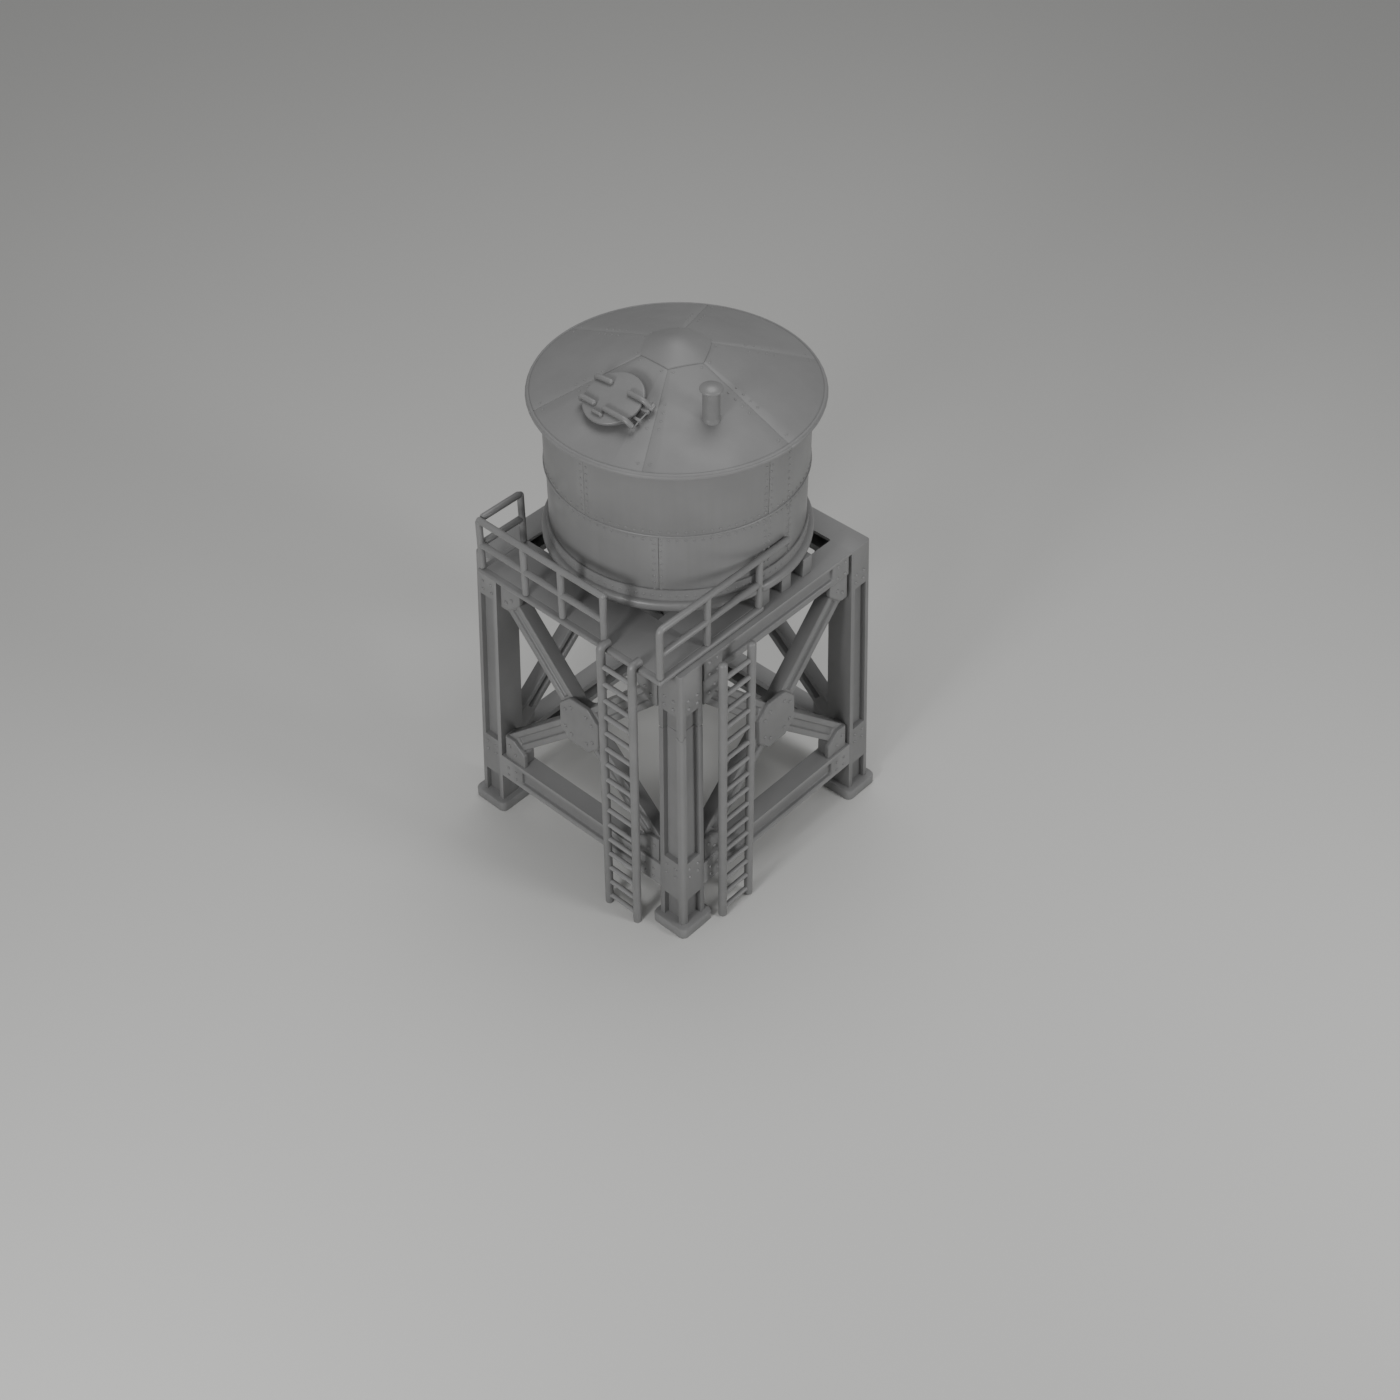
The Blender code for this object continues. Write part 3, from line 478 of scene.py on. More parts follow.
def bend(start, corner, end, radius, steps=5):
    """Points of a line that turns a corner on an arc."""
    start, corner, end = Vector(start), Vector(corner), Vector(end)
    first, second = (start - corner).normalized(), (end - corner).normalized()
    near, far = corner + first * radius, corner + second * radius
    points = [start]
    for i in range(steps + 1):
        t = i / steps
        points.append(near.lerp(corner, t).lerp(corner.lerp(far, t), t))
    return points + [end]


def finish(item, body, material, nodes=(), angle=40):
    """Smooth shading, paint, and what the piece rides on and stands for."""
    select_only(item)
    bpy.ops.object.shade_smooth_by_angle(angle=radians(angle))
    item.data.materials.clear()
    item.data.materials.append(material)
    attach(item, body)
    if nodes:
        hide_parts(*nodes)


def merged_copy(node):
    """A copy of one of the model's solids with its points merged and its flat faces whole."""
    item = linked(f"painted_{node}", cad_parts[node].data.copy())
    with edit_mode(item):
        bpy.ops.mesh.customdata_custom_splitnormals_clear()
        bpy.ops.mesh.select_all(action="SELECT")
        bpy.ops.mesh.remove_doubles(threshold=MERGE)
        bpy.ops.mesh.dissolve_limited(angle_limit=radians(0.5))
    return item


def coated(node, width, segments=3, angle=30, where=None):
    """A merged copy with its sharp edges rounded."""
    return round_edges(merged_copy(node), width, segments, angle, where)


# Places

def turn(turns):
    """Quarter turns about the tower's axis."""
    return Matrix.Translation((AXIS.x, AXIS.y, 0)) @ Matrix.Rotation(turns * pi / 2, 4, "Z") @ \
        Matrix.Translation((-AXIS.x, -AXIS.y, 0))


def half_width(z):
    """From the axis to the outer faces of the legs and beams."""
    return BEAM_HALF + SPLAY * (TOP_BEAM_LOW - z)


def leg_inner(z):
    """From the axis to the inner faces of the legs."""
    return half_width(z) - LEG_TOP - LEG_TAPER * (FRAME_TOP - z)


def on_side(turns, along, depth, z, tilt=0.0):
    """Place on a side's leaning face: X along it, Y into it, Z up it, then tilted about Y."""
    place = Matrix.Translation((AXIS.x + along, AXIS.y - half_width(z) + depth, z))
    return turn(turns) @ place @ Matrix.Rotation(-LEAN, 4, "X") @ Matrix.Rotation(-tilt, 4, "Y")


def facing(point, normal):
    """Place whose Z axis points along a normal."""
    return Matrix.Translation(point) @ Vector(normal).to_track_quat("Z", "Y").to_matrix().to_4x4()


def heading(angle, z=0.0):
    """Direction at an angle in degrees from +X."""
    return Vector((cos(radians(angle)), sin(radians(angle)), z))


def tank_point(radius, angle, z):
    return Vector((TANK.x, TANK.y, z)) + radius * heading(angle)


def on_wall(radius, angle, z):
    """Place on the tank's wall, Z pointing out of it."""
    return facing(tank_point(radius, angle, z), heading(angle))


def roof_z(radius):
    return LIP_Z + ROOF_RISE * (LIP_R - radius)


def on_roof(radius, angle, aside=0.0):
    """Place on the roof, X pointing down the slope and Z out of it."""
    out = heading(angle, -ROOF_RISE).normalized()
    across = heading(angle + 90)
    up = out.cross(across)
    start = tank_point(radius, angle, 0) + across * aside
    distance = hypot(start.x - TANK.x, start.y - TANK.y)
    place = Matrix((out, across, up)).transposed().to_4x4()
    place.translation = (start.x, start.y, roof_z(distance))
    return place


def hatch_place():
    """Middle of the hatch on the roof's surface: X across the slope, Y up it, Z out of it."""
    up = Vector((0, cos(HATCH_TILT), sin(HATCH_TILT)))
    out = Vector((0, -sin(HATCH_TILT), cos(HATCH_TILT)))
    place = Matrix((Vector((1, 0, 0)), up, out)).transposed().to_4x4()
    place.translation = (AXIS.x, HATCH_Y, roof_z(TANK.y - HATCH_Y) - HATCH_SINK)
    return place


# Paint

def rgb(text):
    """An sRGB hex value as a linear colour."""
    parts = [int(text[i:i + 2], 16) / 255 for i in (0, 2, 4)]
    return [part / 12.92 if part <= 0.04045 else ((part + 0.055) / 1.055) ** 2.4 for part in parts] + [1.0]


def add_node(tree, kind, settings=None, inputs=None, links=None):
    """Add a shader node with its settings, input values and incoming links."""
    node = tree.nodes.new(kind)
    for name, value in (settings or {}).items():
        setattr(node, name, value)
    for name, value in (inputs or {}).items():
        node.inputs[name].default_value = value
    for name, source in (links or {}).items():
        tree.links.new(source, node.inputs[name])
    return node


def noise(tree, place, scale, detail, roughness=0.5):
    """Cloudy noise at a place."""
    inputs = {"Scale": scale, "Detail": detail, "Roughness": roughness}
    return add_node(tree, "ShaderNodeTexNoise", inputs=inputs, links={"Vector": place}).outputs["Fac"]


def spread(tree, value, low, high, to_low=0.0, to_high=1.0):
    """A value between two limits, spread out between two others."""
    inputs = {"From Min": low, "From Max": high, "To Min": to_low, "To Max": to_high}
    return add_node(tree, "ShaderNodeMapRange", inputs=inputs, links={"Value": value}).outputs["Result"]


def new_material(name):
    material = bpy.data.materials.new(name)
    material.use_nodes = True
    material.node_tree.nodes.clear()
    return material, material.node_tree


def satin_enamel(name, patch=0.9, streaks=0.35, waves=0.0, roughness=(0.36, 0.46)):
    """Sprayed alkyd enamel on steel: a clean, even satin grey that shines along rounded edges.

    It has dulled a little in soft patches and under the drips of rain, and a lighter grey is painted on its
    convex edges as a highlight.
    """
    material, tree = new_material(name)
    grey = colours()
    place = add_node(tree, "ShaderNodeTexCoord").outputs["Object"]
    patches = noise(tree, place, 1 / patch, 4.0, 0.55)
    # Drips are about 100 mm wide and 2 m long.
    drip_space = add_node(tree, "ShaderNodeMapping", inputs={"Scale": (10.0, 10.0, 0.5)},
                          links={"Vector": place})
    drips = noise(tree, drip_space.outputs["Vector"], 1.0, 3.0)
    # Orange peel is 2 to 5 mm wide, too fine to show, and is drawn 20 mm wide.
    peel = noise(tree, place, 50.0, 2.0)
    patch_mask = spread(tree, patches, 0.35, 0.70)
    drip_mask = spread(tree, drips, 0.45, 0.80, 0.0, streaks)
    # Painted highlight: the convex edges, found by pointiness, are mixed towards the lighter edge grey.
    shape = add_node(tree, "ShaderNodeNewGeometry")
    edge_highlight_mask = spread(tree, shape.outputs["Pointiness"], 0.53, 0.62, 0.0, 0.5)
    # The colour sockets of a Mix node are its inputs 6 and 7 and its output 2.
    dulled = add_node(tree, "ShaderNodeMix", {"data_type": "RGBA"},
                      {6: rgb(grey.paint), 7: rgb(grey.paint_dark)},
                      {"Factor": patch_mask})
    dripped = add_node(tree, "ShaderNodeMix", {"data_type": "RGBA"}, {7: rgb(grey.paint_dark)},
                       {"Factor": drip_mask, 6: dulled.outputs[2]})
    # The painted highlight goes on over the patches and drips.
    highlighted = add_node(tree, "ShaderNodeMix", {"data_type": "RGBA"}, {7: rgb(grey.edge_highlight)},
                      {"Factor": edge_highlight_mask, 6: dripped.outputs[2]})
    bump = add_node(tree, "ShaderNodeBump", inputs={"Strength": 0.15, "Distance": 0.001},
                    links={"Height": peel})
    normal = bump.outputs["Normal"]
    if waves:
        # Thin plates pull in between their rivets, in hollows about half a metre across.
        hollows = noise(tree, place, 2.0, 0.5)
        wavy = add_node(tree, "ShaderNodeBump", inputs={"Strength": 1.0, "Distance": waves},
                        links={"Height": hollows, "Normal": normal})
        normal = wavy.outputs["Normal"]
    shader = add_node(tree, "ShaderNodeBsdfPrincipled", inputs={"Metallic": 0.0, "IOR": 1.5},
                      links={"Base Color": highlighted.outputs[2], "Normal": normal,
                             "Roughness": spread(tree, patches, 0.35, 0.65, *roughness)})
    add_node(tree, "ShaderNodeOutputMaterial", links={"Surface": shader.outputs["BSDF"]})
    return material


def enamel(name):
    """One of the tower's paints, made when it is first asked for."""
    settings = {
        "frame_enamel": dict(patch=0.9, streaks=0.4),
        "tank_enamel": dict(patch=1.3, streaks=0.6, waves=0.003, roughness=(0.32, 0.42)),
        "roof_enamel": dict(patch=1.1, streaks=0.0, waves=0.002, roughness=(0.50, 0.60)),
        "fitting_enamel": dict(patch=0.4, streaks=0.2, roughness=(0.34, 0.44)),
        "footing_enamel": dict(patch=0.5, streaks=0.3, roughness=(0.42, 0.55)),
    }
    return bpy.data.materials.get(name) or satin_enamel(name, **settings[name])


# Fastenings

def domed_head(radius, height):
    """Rivet or bolt head on the XY plane: the upper part of a ball, flattened."""
    bpy.ops.mesh.primitive_uv_sphere_add(segments=10, ring_count=8, radius=radius)
    item = bpy.context.active_object
    with edit_mode(item):
        bpy.ops.mesh.select_all(action="SELECT")
        bpy.ops.mesh.bisect(plane_co=(0, 0, -radius * HEAD_CUT), plane_no=(0, 0, 1), use_fill=True,
                            clear_inner=True)
    item.scale = (1, 1, height)
    return settle(item)


def fastened(radius, height, places, name):
    """A rivet or bolt head in each place, as one object."""
    head = domed_head(radius, height)
    heads = []
    for place in places:
        twin = linked(name, head.data.copy())
        twin.matrix_world = place
        heads.append(twin)
    remove(head)
    return settle(joined(heads, name))


def side_bolts(spots, depth, name, radius, side=0, signs=(-1, 1)):
    """Domed bolts on a side's leaning face, on its right half, its left half or both."""
    out = Matrix.Rotation(pi / 2, 4, "X")
    places = [on_side(side, sign * along, depth, z) @ out for along, z in spots for sign in signs]
    return fastened(radius, BOLT_HEIGHT, places, name)


def four_times(item, names, kind, paint):
    """Finish an item of the front side, or front right corner, and its three turned copies."""
    for turns, name in enumerate(names):
        piece = item if turns == 0 else copy_of(item, turn(turns), f"painted_{kind}_{name}")
        finish(piece, "tower", paint, [f"{kind}_{name}"])


class TOWER_OT_legs(bpy.types.Operator):
    """Rounded box legs on their footings, with bolted cover plates"""

    bl_idname = "tower.legs"
    bl_label = "Legs and Footings"

    def keep_smooth(self, a, b):
        """Leave the edges where the top beams' upper flanges run on over the leg."""
        low = min(a.z, b.z)
        if low > FRAME_TOP - HAIR:
            inner = leg_inner(FRAME_TOP) + 10 * HAIR
            meets_front_beam = all(p.x - AXIS.x < inner for p in (a, b))
            meets_right_beam = all(AXIS.y - p.y < inner for p in (a, b))
            return not (meets_front_beam or meets_right_beam)
        return low <= FRAME_TOP - TOP_FLANGE - HAIR

    def dip_splice(self, leg):
        """Lower the splice's edges round the outer corner."""
        for vertex in leg.data.vertices:
            if abs(vertex.co.z - SPLICE_Z) > 2 * SPLICE_HALF:
                continue
            outer = half_width(vertex.co.z)
            from_right, from_front = outer - (vertex.co.x - AXIS.x), outer - (AXIS.y - vertex.co.y)
            if max(from_right, from_front) < SPLICE_CORNER:
                vertex.co.z -= SPLICE_DROP

    def leg(self, spliced):
        """The front right leg, with or without a groove around it where its upper length starts."""
        leg = merged_copy("leg_front_right")
        up = (0, 0, 1)
        cut_across(leg, ((0, 0, FRAME_TOP - TOP_FLANGE), up))
        if spliced:
            cut_across(leg, ((0, 0, SPLICE_Z - SPLICE_HALF), up), ((0, 0, SPLICE_Z + SPLICE_HALF), up))
            self.dip_splice(leg)
            room = SPLICE_HALF + SPLICE_DROP
            sink_faces(leg, lambda centre, normal: abs(centre.z - SPLICE_Z) < room and abs(normal.z) < 0.5,
                       SPLICE_WALL, SPLICE_DEEP)
        round_edges(leg, sizes().edge, 3, 40, self.keep_smooth)
        parts = [leg]
        for side, sign in ((0, 1), (1, -1)):
            spots = LEG_TOP_BOLTS + LEG_LOW_BOLTS
            parts.append(side_bolts(spots, 0, "leg_bolts", sizes().bolt, side, (sign,)))
        return joined(parts, "painted_leg_front_right")

    def execute(self, context):
        spliced = self.leg(True)
        plain = self.leg(False)
        for turns, name in enumerate(CORNERS):
            piece = copy_of(plain, turn(turns), f"painted_leg_{name}") if turns else spliced
            finish(piece, "tower", enamel("frame_enamel"), [f"leg_{name}"])
        remove(plain)
        footing = coated("footing_front_right", FOOTING_EDGE, 2, 60)
        four_times(footing, CORNERS, "footing", enamel("footing_enamel"))
        return {"FINISHED"}


class TOWER_OT_beams(bpy.types.Operator):
    """Ring beams with rounded flanges and bolted end plates"""

    bl_idname = "tower.beams"
    bl_label = "Ring Beams"

    def between_legs(self, a, b):
        """Leave the edges that meet a leg."""
        return any(abs(p.x - AXIS.x) < leg_inner(p.z) - 4 * HAIR for p in (a, b))

    def execute(self, context):
        for level, spots in (("top", TOP_BEAM_BOLTS), ("lower", LOW_BEAM_BOLTS)):
            beam = coated(f"{level}_beam_front", sizes().edge, 3, 30, self.between_legs)
            bolts = side_bolts(spots, 0, "beam_bolts", sizes().bolt)
            beam = joined([beam, bolts], f"painted_{level}_beam_front")
            four_times(beam, SIDES, f"{level}_beam", enamel("frame_enamel"))
        return {"FINISHED"}


class TOWER_OT_braces(bpy.types.Operator):
    """Crossed arms with recessed webs, an octagonal centre plate and a plate in each corner"""

    bl_idname = "tower.braces"
    bl_label = "Cross Braces"

    def arm(self, slope, length, pocket_end, right):
        """One arm from the crossing: a bar with long recesses in its front and back."""
        bar = block((length, ARM_DEEP, ARM_WIDE))
        bar.location = (length / 2, ARM_DEEP / 2, 0)
        settle(bar)
        half = ARM_WIDE / 2 - ARM_FLANGE
        cut_across(bar, ((POCKET_START, 0, 0), (1, 0, 0)), ((pocket_end, 0, 0), (1, 0, 0)),
                   ((0, 0, -half), (0, 0, 1)), ((0, 0, half), (0, 0, 1)))
        for sign, depth in zip((-1, 1), ARM_POCKETS):
            sink_faces(bar, lambda centre, normal: normal.y * sign > 0.9 and abs(centre.z) < half
                       and POCKET_START < centre.x < pocket_end, POCKET_DRAFT, depth)
        round_edges(bar, sizes().plate_edge, 3, 40, lambda a, b: max(a.x, b.x) < length - HAIR)
        return placed(bar, on_side(0, 0, ARM_SET, HUB_Z, slope if right > 0 else pi - slope))

    def centre(self):
        """The octagonal plate on the web that fills the corners between the arms."""
        (w, h), c = HUB_HALF, HUB_CHAMFER
        octagon = [(w, h - c), (w - c, h), (c - w, h), (-w, h - c),
                   (-w, c - h), (c - w, -h), (w - c, -h), (w, c - h)]
        plate = plate_from(octagon, PLATE_THICK, range(8), PLATE_CORNER)
        round_edges(plate, sizes().edge, 4, 40)
        up, down = ARM_UP[0], -ARM_DOWN[0]
        slopes = (up, pi - up, pi + down, 2 * pi - down, 2 * pi + up)
        points = []
        for first, second in zip(slopes, slopes[1:]):
            half = (second - first) / 2
            reach = (ARM_WIDE / 2 - CROSSING_LAP + CROSSING_FILLET) / sin(half)
            for i in range(CROSSING_STEPS + 1):
                angle = first + 1.5 * pi + (2 * half - pi) * i / CROSSING_STEPS
                points.append((reach * cos(first + half) + CROSSING_FILLET * cos(angle),
                               reach * sin(first + half) + CROSSING_FILLET * sin(angle)))
        web = plate_from(points, CROSSING_DEPTHS[1] - CROSSING_DEPTHS[0])
        round_edges(web, CROSSING_EDGE, 2, 50)
        return [placed(plate, on_side(0, 0, PLATE_SET, HUB_Z)),
                placed(web, on_side(0, 0, CROSSING_DEPTHS[0], HUB_Z))]

    def corner(self, edge, free, right, inward):
        """A bolted plate with two free corners, on a thicker core that reaches the leg."""
        items = []
        layers = ((0.0, PLATE_GAP, PLATE_SET, PLATE_SET + PLATE_THICK), (CORE_INSET, HAIR, *CORE_DEPTHS))
        for inset, gap, front, back in layers:
            start, tip, end = free[0][0] + inset, free[1][0] + inset / 2, free[1][1] + inset * inward
            outline = [(leg_inner(edge) - gap, edge), (start, edge), (start, free[0][1]), (tip, end),
                       (leg_inner(end) - gap, end)]
            outline = [(right * along, z - edge) for along, z in outline]
            plate = plate_from(outline, back - front, (2, 3), PLATE_CORNER)
            round_edges(plate, sizes().plate_edge, 3, 40)
            items.append(placed(plate, on_side(0, 0, front, edge)))
        return items

    def execute(self, context):
        parts = self.centre()
        for right in (-1, 1):
            parts.append(self.arm(*ARM_UP, right))
            parts.append(self.arm(*ARM_DOWN, right))
            parts += self.corner(TOP_BEAM_LOW - HAIR, TOP_CORNER, right, 1)
            parts += self.corner(LOW_BEAM_TOP + HAIR, LOW_CORNER, right, -1)
        parts.append(side_bolts(HUB_BOLTS + CORNER_BOLTS, PLATE_SET, "brace_bolts", sizes().brace_bolt))
        four_times(joined(parts, "painted_brace_front"), SIDES, "brace", enamel("frame_enamel"))
        return {"FINISHED"}


class TOWER_OT_deck(bpy.types.Operator):
    """Joists, and deck plates with a rounded nosing and a shallow line inside it"""

    bl_idname = "tower.deck"
    bl_label = "Deck and Joists"

    def plate(self, node, outer):
        """A deck plate whose outer edges are given as (axis, position, direction into the deck)."""
        item = merged_copy(node)
        bands = []
        for axis, position, inward in outer:
            normal = (1, 0, 0) if axis == 0 else (0, 1, 0)
            near, far = (position + inward * distance for distance in DECK_LINE)
            cut_across(item, ([near if i == axis else 0 for i in range(3)], normal),
                       ([far if i == axis else 0 for i in range(3)], normal))
            bands.append((axis, min(near, far), max(near, far)))

        def inside(point):
            """Whether a point lies further in than every line."""
            return all((point[axis] - position) * inward > DECK_LINE[0] for axis, position, inward in outer)

        def on_line(centre, normal):
            in_band = any(low < centre[axis] < high for axis, low, high in bands)
            return normal.z > 0.9 and inside(centre) and in_band

        sink_faces(item, on_line, DECK_LINE_WALL, DECK_LINE_DEEP)

        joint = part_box("deck_side")[0].y

        def on_nosing(a, b):
            """Whether an edge lies on an outer face, away from the joint of the two plates."""
            at_joint = max(abs(a.y - joint), abs(b.y - joint)) < 10 * HAIR
            return not at_joint and any(all(abs(p[axis] - position) < HAIR for p in (a, b))
                                        for axis, position, inward in outer)

        return round_edges(item, NOSING, 4, 50, on_nosing)

    def execute(self, context):
        paint = enamel("frame_enamel")
        for index in range(1, 5):
            finish(coated(f"joist_{index}", JOIST_EDGE), "tower", paint, [f"joist_{index}"])
        low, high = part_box("deck_front")
        outer = ((1, low.y, 1), (0, low.x, 1), (0, high.x, -1))
        finish(self.plate("deck_front", outer), "tower", paint, ["deck_front"])
        finish(self.plate("deck_side", outer[2:]), "tower", paint, ["deck_side"])
        return {"FINISHED"}


class TOWER_OT_tank(bpy.types.Operator):
    """Base ring, two courses of wall plates, a bead between them and rows of rivets"""

    bl_idname = "tower.tank"
    bl_label = "Tank"

    def places(self):
        """Rivets around the tank in rows, and beside the upright seams in columns."""
        spots = []
        for radius, z in ROWS:
            angles = [ROW_START + ROW_PITCH * i for i in range(round(360 / ROW_PITCH))]
            spots += [on_wall(radius, angle, z) for angle in angles]
        for columns, radius, (low, count) in ((UPPER_COLUMNS, UPPER_R, UPPER_COLUMN),
                                              (LOWER_COLUMNS, LOWER_R, LOWER_COLUMN)):
            heights = [low + COLUMN_PITCH * i for i in range(count)]
            spots += [on_wall(radius, angle, z) for angle in columns for z in heights]
        return spots

    def execute(self, context):
        paint = enamel("tank_enamel")
        for course in ("lower", "upper"):
            for index in range(1, 4):
                node = f"wall_{course}_{index}"
                finish(coated(node, WALL_EDGE, 2, 40), "tower", paint, [node])
        finish(coated("base_ring", RING_EDGE, 2, 50), "tower", paint, ["base_ring"], 50)
        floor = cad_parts["tank_floor"]
        floor.data.materials.clear()
        floor.data.materials.append(paint)

        finish(ring_bead(*COURSE_BEAD, COURSE_BEAD_R, "course_bead"), "tower", paint)
        rivets = fastened(sizes().rivet, RIVET_HEIGHT, self.places(), "tank_rivets")
        finish(rivets, "tower", paint)
        return {"FINISHED"}


class TOWER_OT_roof(bpy.types.Operator):
    """Roof plates with riveted seams, a bead on the lip and a shallow cap over their tips"""

    bl_idname = "tower.roof"
    bl_label = "Roof"

    def on_open_seam(self, a, b):
        """Whether an edge runs along the roof's open seam."""
        out, across = heading(OPEN_SEAM), heading(OPEN_SEAM + 90)
        return all(abs((p - TANK).dot(across)) < 2 * HAIR and (p - TANK).dot(out) > 0 for p in (a, b))

    def cap(self):
        """A low cone with a rounded tip, on a six-sided foot whose sides swell a little."""
        bpy.ops.mesh.primitive_cone_add(vertices=CAP_SIDES, radius1=CAP_R, radius2=CAP_TIP, depth=1)
        item = bpy.context.active_object
        for vertex in item.data.vertices:
            angle = atan2(vertex.co.y, vertex.co.x)
            hexagon = CAP_R * cos(pi / 6) / cos((angle % (pi / 3)) - pi / 6)
            rim = hexagon + (CAP_R - hexagon) * CAP_ROUND
            if vertex.co.z < 0:
                vertex.co = (rim * cos(angle), rim * sin(angle), roof_z(rim) + CAP_RAISE)
            else:
                vertex.co.z = roof_z(CAP_TIP) + CAP_RAISE
        round_edges(item, CAP_TIP * CAP_TIP_ROUND, 6, 15, lambda a, b: min(a.z, b.z) > roof_z(CAP_TIP))
        pick_faces(item, lambda centre, normal: normal.z < -0.5)
        with edit_mode(item):
            bpy.ops.mesh.extrude_region_move(TRANSFORM_OT_translate={"value": (0, 0, -CAP_SINK)})
        round_edges(item, CAP_EDGE, 3, 50)
        item.name = "painted_roof_cap"
        return placed(item, Matrix.Translation((TANK.x, TANK.y, 0)))

    def execute(self, context):
        paint = enamel("roof_enamel")
        for index in range(1, 7):
            node = f"roof_plate_{index}"
            plate = coated(node, OPEN_SEAM_BEVEL, 2, 45, self.on_open_seam)
            finish(round_edges(plate, ROOF_EDGE, 2, 45), "tower", paint, [node], 38)
        finish(self.cap(), "tower", paint, ["roof_cap"], 30)
        finish(ring_bead(*LIP_BEAD, LIP_BEAD_R, "roof_bead"), "tower", paint)
        places = [on_roof(radius, 60 * i, aside) for i in range(6) for radius in ROOF_RIVETS
                  for aside in (-ROOF_RIVET_ASIDE, ROOF_RIVET_ASIDE)]
        rivets = fastened(sizes().rivet, RIVET_HEIGHT, places, "roof_rivets")
        finish(rivets, "tower", paint)
        return {"FINISHED"}


class TOWER_OT_hatch(bpy.types.Operator):
    """Round hatch: neck, lid with a rounded rim, bars, hinge knuckle and a handle"""

    bl_idname = "tower.hatch"
    bl_label = "Roof Hatch"

    def lid(self):
        """A nearly flat lid with a rounded rim."""
        profile = [(0, LID_LOW), *((LID_R - inward, LID_LOW + up) for inward, up in LID_RIM), *LID_CROWN]
        return lathe(profile, 64, False)

    def execute(self, context):
        paint = enamel("fitting_enamel")
        finish(coated("hatch_neck", NECK_EDGE, 2, 50), "tower", paint, ["hatch_neck"], 50)
        parts = [self.lid()]
        for outer, inner in HOOK_BARS:
            tip = (outer[0] - BAR_HOOK[0], outer[1], LID_LOW - BAR_HOOK[1])
            parts.append(tube(bend((*inner, BAR_UP), (*outer, BAR_UP), tip, BAR_BEND), BAR_R))
        for across, row in HINGE_BARS:
            line = bend((across, row, BAR_UP), (BAR_DROP, row, BAR_UP), (HINGE_OUT, row, HINGE_UP), BAR_BEND)
            parts.append(tube(line, BAR_R))
        parts.append(tube([(HINGE_OUT, row, HINGE_UP) for row in HINGE_PIN], KNUCKLE_R))
        (left, right), low = HANDLE_ENDS, LID_TOP - HANDLE_SINK
        handle = bend((*left, low), (*left, HANDLE_UP), (*right, HANDLE_UP), HANDLE_BEND)[:-1]
        handle += bend((*left, HANDLE_UP), (*right, HANDLE_UP), (*right, low), HANDLE_BEND)[1:]
        parts.append(tube(handle, HANDLE_R))
        lid = placed(joined(parts, "painted_hatch_lid"), hatch_place())
        finish(lid, "hatch", paint, ["hatch_lid"])
        return {"FINISHED"}


class TOWER_OT_vent(bpy.types.Operator):
    """Vent pipe with a small flared foot and a thin domed cap"""

    bl_idname = "tower.vent"
    bl_label = "Vent Pipe"

    def execute(self, context):
        centre = middle("vent_pipe")
        foot = roof_z(hypot(centre.x - TANK.x, centre.y - TANK.y))
        profile = [*VENT_FOOT, (VENT_R, VENT_TALL), *((radius, VENT_TALL + up) for radius, up in VENT_CAP)]
        vent = placed(lathe(profile, 40, False), Matrix.Translation((centre.x, centre.y, foot)))
        vent.name = "painted_vent_pipe"
        finish(vent, "tower", enamel("fitting_enamel"), ["vent_pipe"])
        return {"FINISHED"}


class TOWER_OT_railings(bpy.types.Operator):
    """Tube railings along the deck's three open edges"""

    bl_idname = "tower.railings"
    bl_label = "Railings"

    def execute(self, context):
        front_y = middle("railing_front").y
        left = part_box("railing_front")[0].x + TUBE_R
        posts = [left] + [AXIS.x + x for x in FRONT_POSTS]
        lines = [((left - TUBE_R / 2, front_y, RAIL_Z), (posts[-1] + RAIL_END, front_y, RAIL_Z)),
                 ((left, front_y, MID_RAIL_Z), (posts[-1], front_y, MID_RAIL_Z))]
        lines += [((x, front_y, DECK_TOP), (x, front_y, RAIL_Z)) for x in posts]
        self.rail("railing_front", lines)

        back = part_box("railing_end")[1].y - TUBE_R
        lines = [((left, back, DECK_TOP), (left, back, RAIL_Z + TUBE_R / 2)),
                 ((left, front_y + TUBE_R, RAIL_Z), (left, back, RAIL_Z)),
                 ((left, front_y + TUBE_R, MID_RAIL_Z), (left, back, MID_RAIL_Z))]
        self.rail("railing_end", lines)

        x = middle("railing_side").x
        near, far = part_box("railing_side")[0].y + TUBE_R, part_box("railing_side")[1].y
        posts = [near] + [AXIS.y + y for y in SIDE_POSTS]
        lines = [bend((x, near, DECK_TOP), (x, near, RAIL_Z), (x, far, RAIL_Z), RAIL_BEND),
                 ((x, near, MID_RAIL_Z), (x, posts[-1], MID_RAIL_Z))]
        lines += [((x, y, DECK_TOP), (x, y, RAIL_Z)) for y in posts[1:]]
        self.rail("railing_side", lines)
        return {"FINISHED"}

    def rail(self, node, lines):
        piece = joined([tube(line, PAINTED_TUBE_R) for line in lines], f"painted_{node}")
        finish(piece, "tower", enamel("fitting_enamel"), [node])


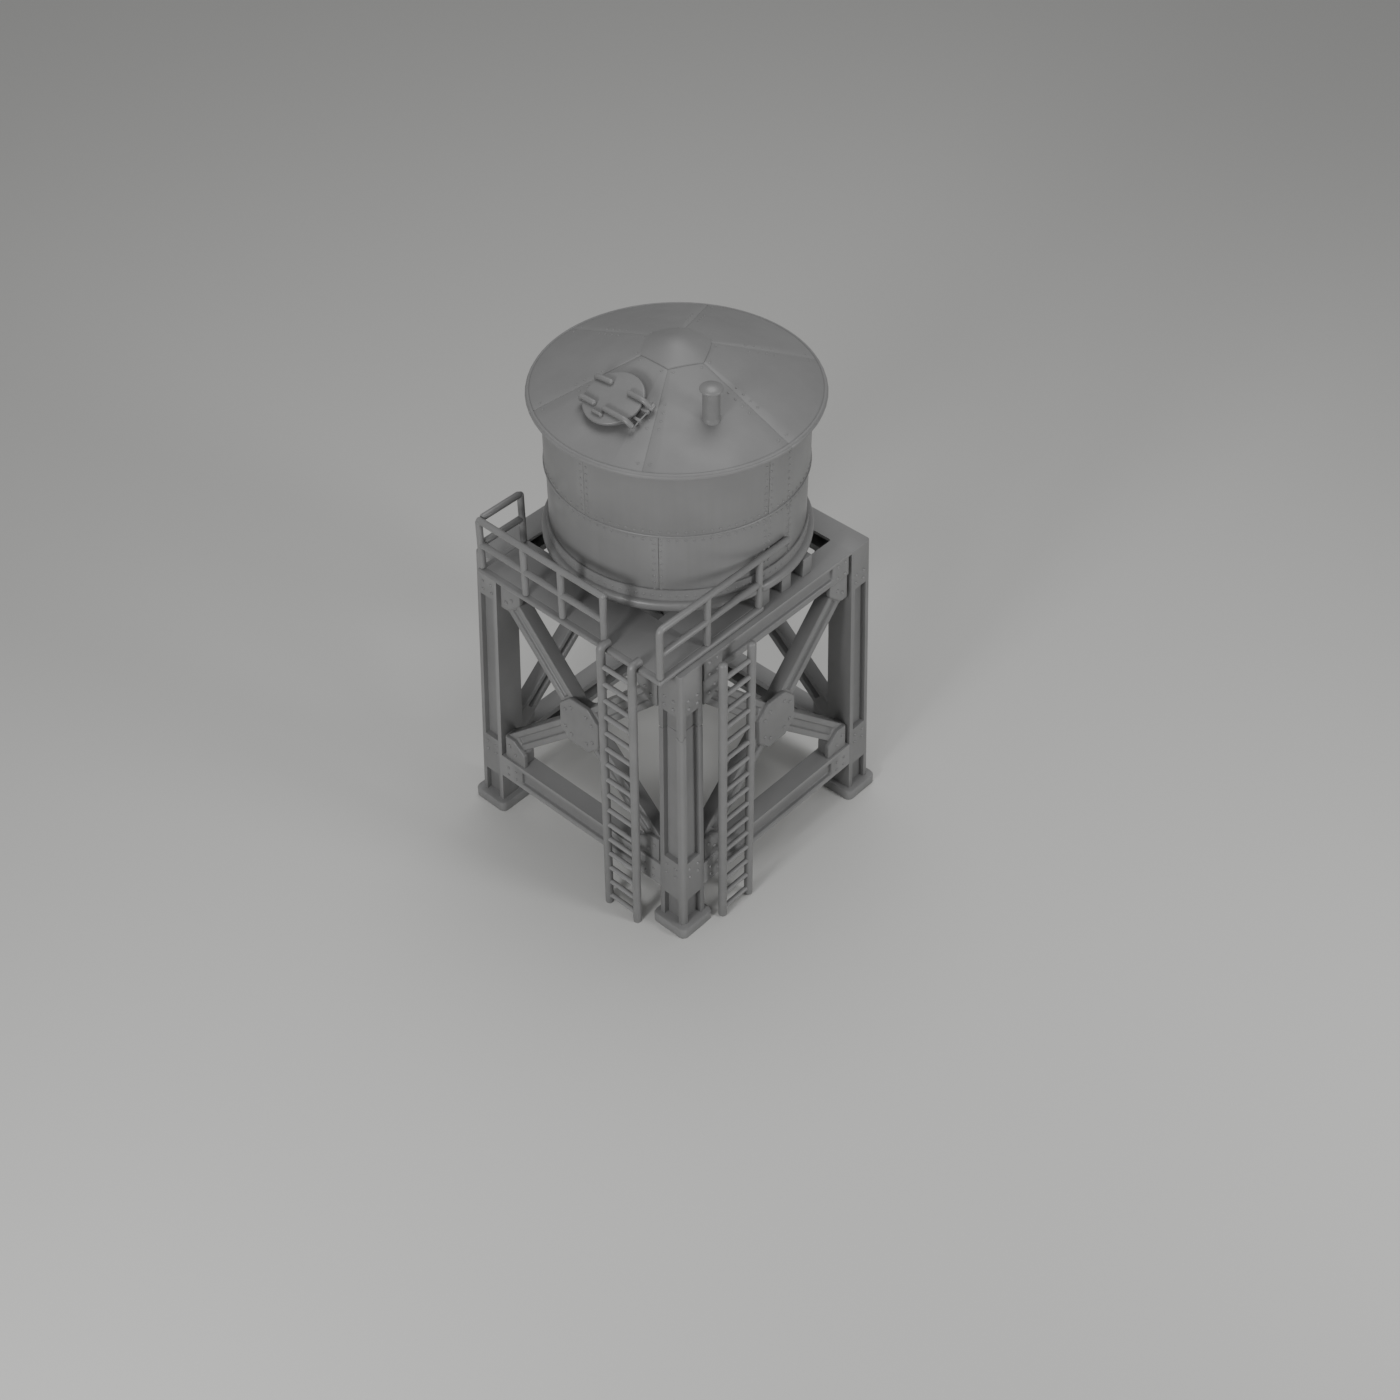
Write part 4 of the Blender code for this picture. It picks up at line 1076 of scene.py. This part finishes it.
class TOWER_OT_ladders(bpy.types.Operator):
    """Two ladders with round rails, domed at both ends"""

    bl_idname = "tower.ladders"
    bl_label = "Ladders"

    def ladder(self, hooked):
        """A ladder in the front one's place; its rails may hook over the nosing and end on the deck."""
        low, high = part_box("ladder_front")
        half = (high.x - low.x) / 2 - LADDER_RAIL_R
        foot_y, top_y = low.y + LADDER_RAIL_R, high.y - LADDER_RAIL_R
        along = (low.x + high.x) / 2
        ends = (along - half, along + half)
        over = DECK_TOP + LADDER_RAIL_R + HAIR
        parts = []
        for x in ends:
            line = [(x, foot_y, 0), (x, top_y, high.z)]
            if hooked:
                line = bend((x, foot_y, 0), (x, top_y, over), (x, top_y + HOOK, over), HOOK_BEND)
            parts.append(tube(line, LADDER_RAIL_R, 20))
        for i in range(RUNG_COUNT):
            z = RUNG_FIRST + RUNG_STEP * i
            y = foot_y + (top_y - foot_y) * z / high.z
            parts.append(tube([(x, y, z) for x in ends], RUNG_R, 12, domed=False))
        return joined(parts, "painted_ladder")

    def execute(self, context):
        front = self.ladder(True)
        side = self.ladder(False)
        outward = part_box("ladder_side")[1].x - AXIS.x - (AXIS.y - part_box("ladder_front")[0].y)
        along = middle("ladder_side").y - AXIS.y - (middle("ladder_front").x - AXIS.x)
        placed(side, Matrix.Translation((outward, along, 0)) @ turn(1))
        for piece, node in ((front, "ladder_front"), (side, "ladder_side")):
            piece.name = f"painted_{node}"
            finish(piece, "tower", enamel("fitting_enamel"), [node])
        return {"FINISHED"}


class TOWER_OT_stage(bpy.types.Operator):
    """Pale floor, soft light and the camera"""

    bl_idname = "tower.stage"
    bl_label = "Stage"

    def floor(self):
        bpy.ops.mesh.primitive_plane_add(size=FLOOR_SIZE)
        floor = bpy.context.active_object
        floor.name = "floor"
        material, tree = new_material("matt_floor")
        place = add_node(tree, "ShaderNodeTexCoord").outputs["Object"]
        roughness = spread(tree, noise(tree, place, 0.4, 3.0), 0.0, 1.0, 0.85, 0.95)
        shader = add_node(tree, "ShaderNodeBsdfPrincipled", inputs={"Base Color": rgb(colours().floor)},
                          links={"Roughness": roughness})
        add_node(tree, "ShaderNodeOutputMaterial", links={"Surface": shader.outputs["BSDF"]})
        floor.data.materials.append(material)

    def light(self, name, place, size, power):
        lamp = bpy.data.lights.new(name, "AREA")
        lamp.shape = "DISK"
        lamp.size = size
        lamp.energy = power
        item = linked(name, lamp)
        item.location = place
        aim = Vector((AXIS.x, AXIS.y, LIGHTS_AIM)) - Vector(place)
        item.rotation_euler = aim.to_track_quat("-Z", "Y").to_euler()

    def execute(self, context):
        self.floor()
        for light in LIGHTS:
            self.light(*light)
        world = bpy.data.worlds.new("studio")
        world.use_nodes = True
        sky = world.node_tree.nodes["Background"]
        sky.inputs["Color"].default_value = (1, 1, 1, 1)
        sky.inputs["Strength"].default_value = SKY_STRENGTH
        bpy.context.scene.world = world

        lens = bpy.data.cameras.new("camera")
        lens.lens = CAMERA_LENS
        lens.sensor_width = 36
        lens.clip_end = FLOOR_SIZE
        camera = linked("camera", lens)
        camera.location = CAMERA_PLACE
        camera.rotation_euler = CAMERA_TURN
        bpy.context.scene.camera = camera
        return {"FINISHED"}


class TOWER_PT_panel(bpy.types.Panel):
    """The tower's pieces, in the order in which they are made"""

    bl_label = "Water Tower"
    bl_idname = "TOWER_PT_panel"
    bl_space_type = "VIEW_3D"
    bl_region_type = "UI"
    bl_category = "Water Tower"

    def draw(self, context):
        for group in (context.scene.tower_sizes, context.scene.tower_colours):
            box = self.layout.box()
            for name in group.__annotations__:
                box.prop(group, name)
        for operator in OPERATORS:
            self.layout.operator(operator.bl_idname)


OPERATORS = (TOWER_OT_legs, TOWER_OT_beams, TOWER_OT_braces, TOWER_OT_deck, TOWER_OT_tank, TOWER_OT_roof,
             TOWER_OT_hatch, TOWER_OT_vent, TOWER_OT_railings, TOWER_OT_ladders, TOWER_OT_stage)
CLASSES = (TowerSizes, TowerColours) + OPERATORS + (TOWER_PT_panel,)


def register():
    for item in CLASSES:
        bpy.utils.register_class(item)
    bpy.types.Scene.tower_sizes = bpy.props.PointerProperty(type=TowerSizes)
    bpy.types.Scene.tower_colours = bpy.props.PointerProperty(type=TowerColours)


def unregister():
    del bpy.types.Scene.tower_colours
    del bpy.types.Scene.tower_sizes
    for item in reversed(CLASSES):
        bpy.utils.unregister_class(item)


def main():
    register()
    for operator in (bpy.ops.tower.legs, bpy.ops.tower.beams, bpy.ops.tower.braces, bpy.ops.tower.deck,
                     bpy.ops.tower.tank, bpy.ops.tower.roof, bpy.ops.tower.hatch, bpy.ops.tower.vent,
                     bpy.ops.tower.railings, bpy.ops.tower.ladders, bpy.ops.tower.stage):
        operator()


if __name__ == "__main__":
    main()
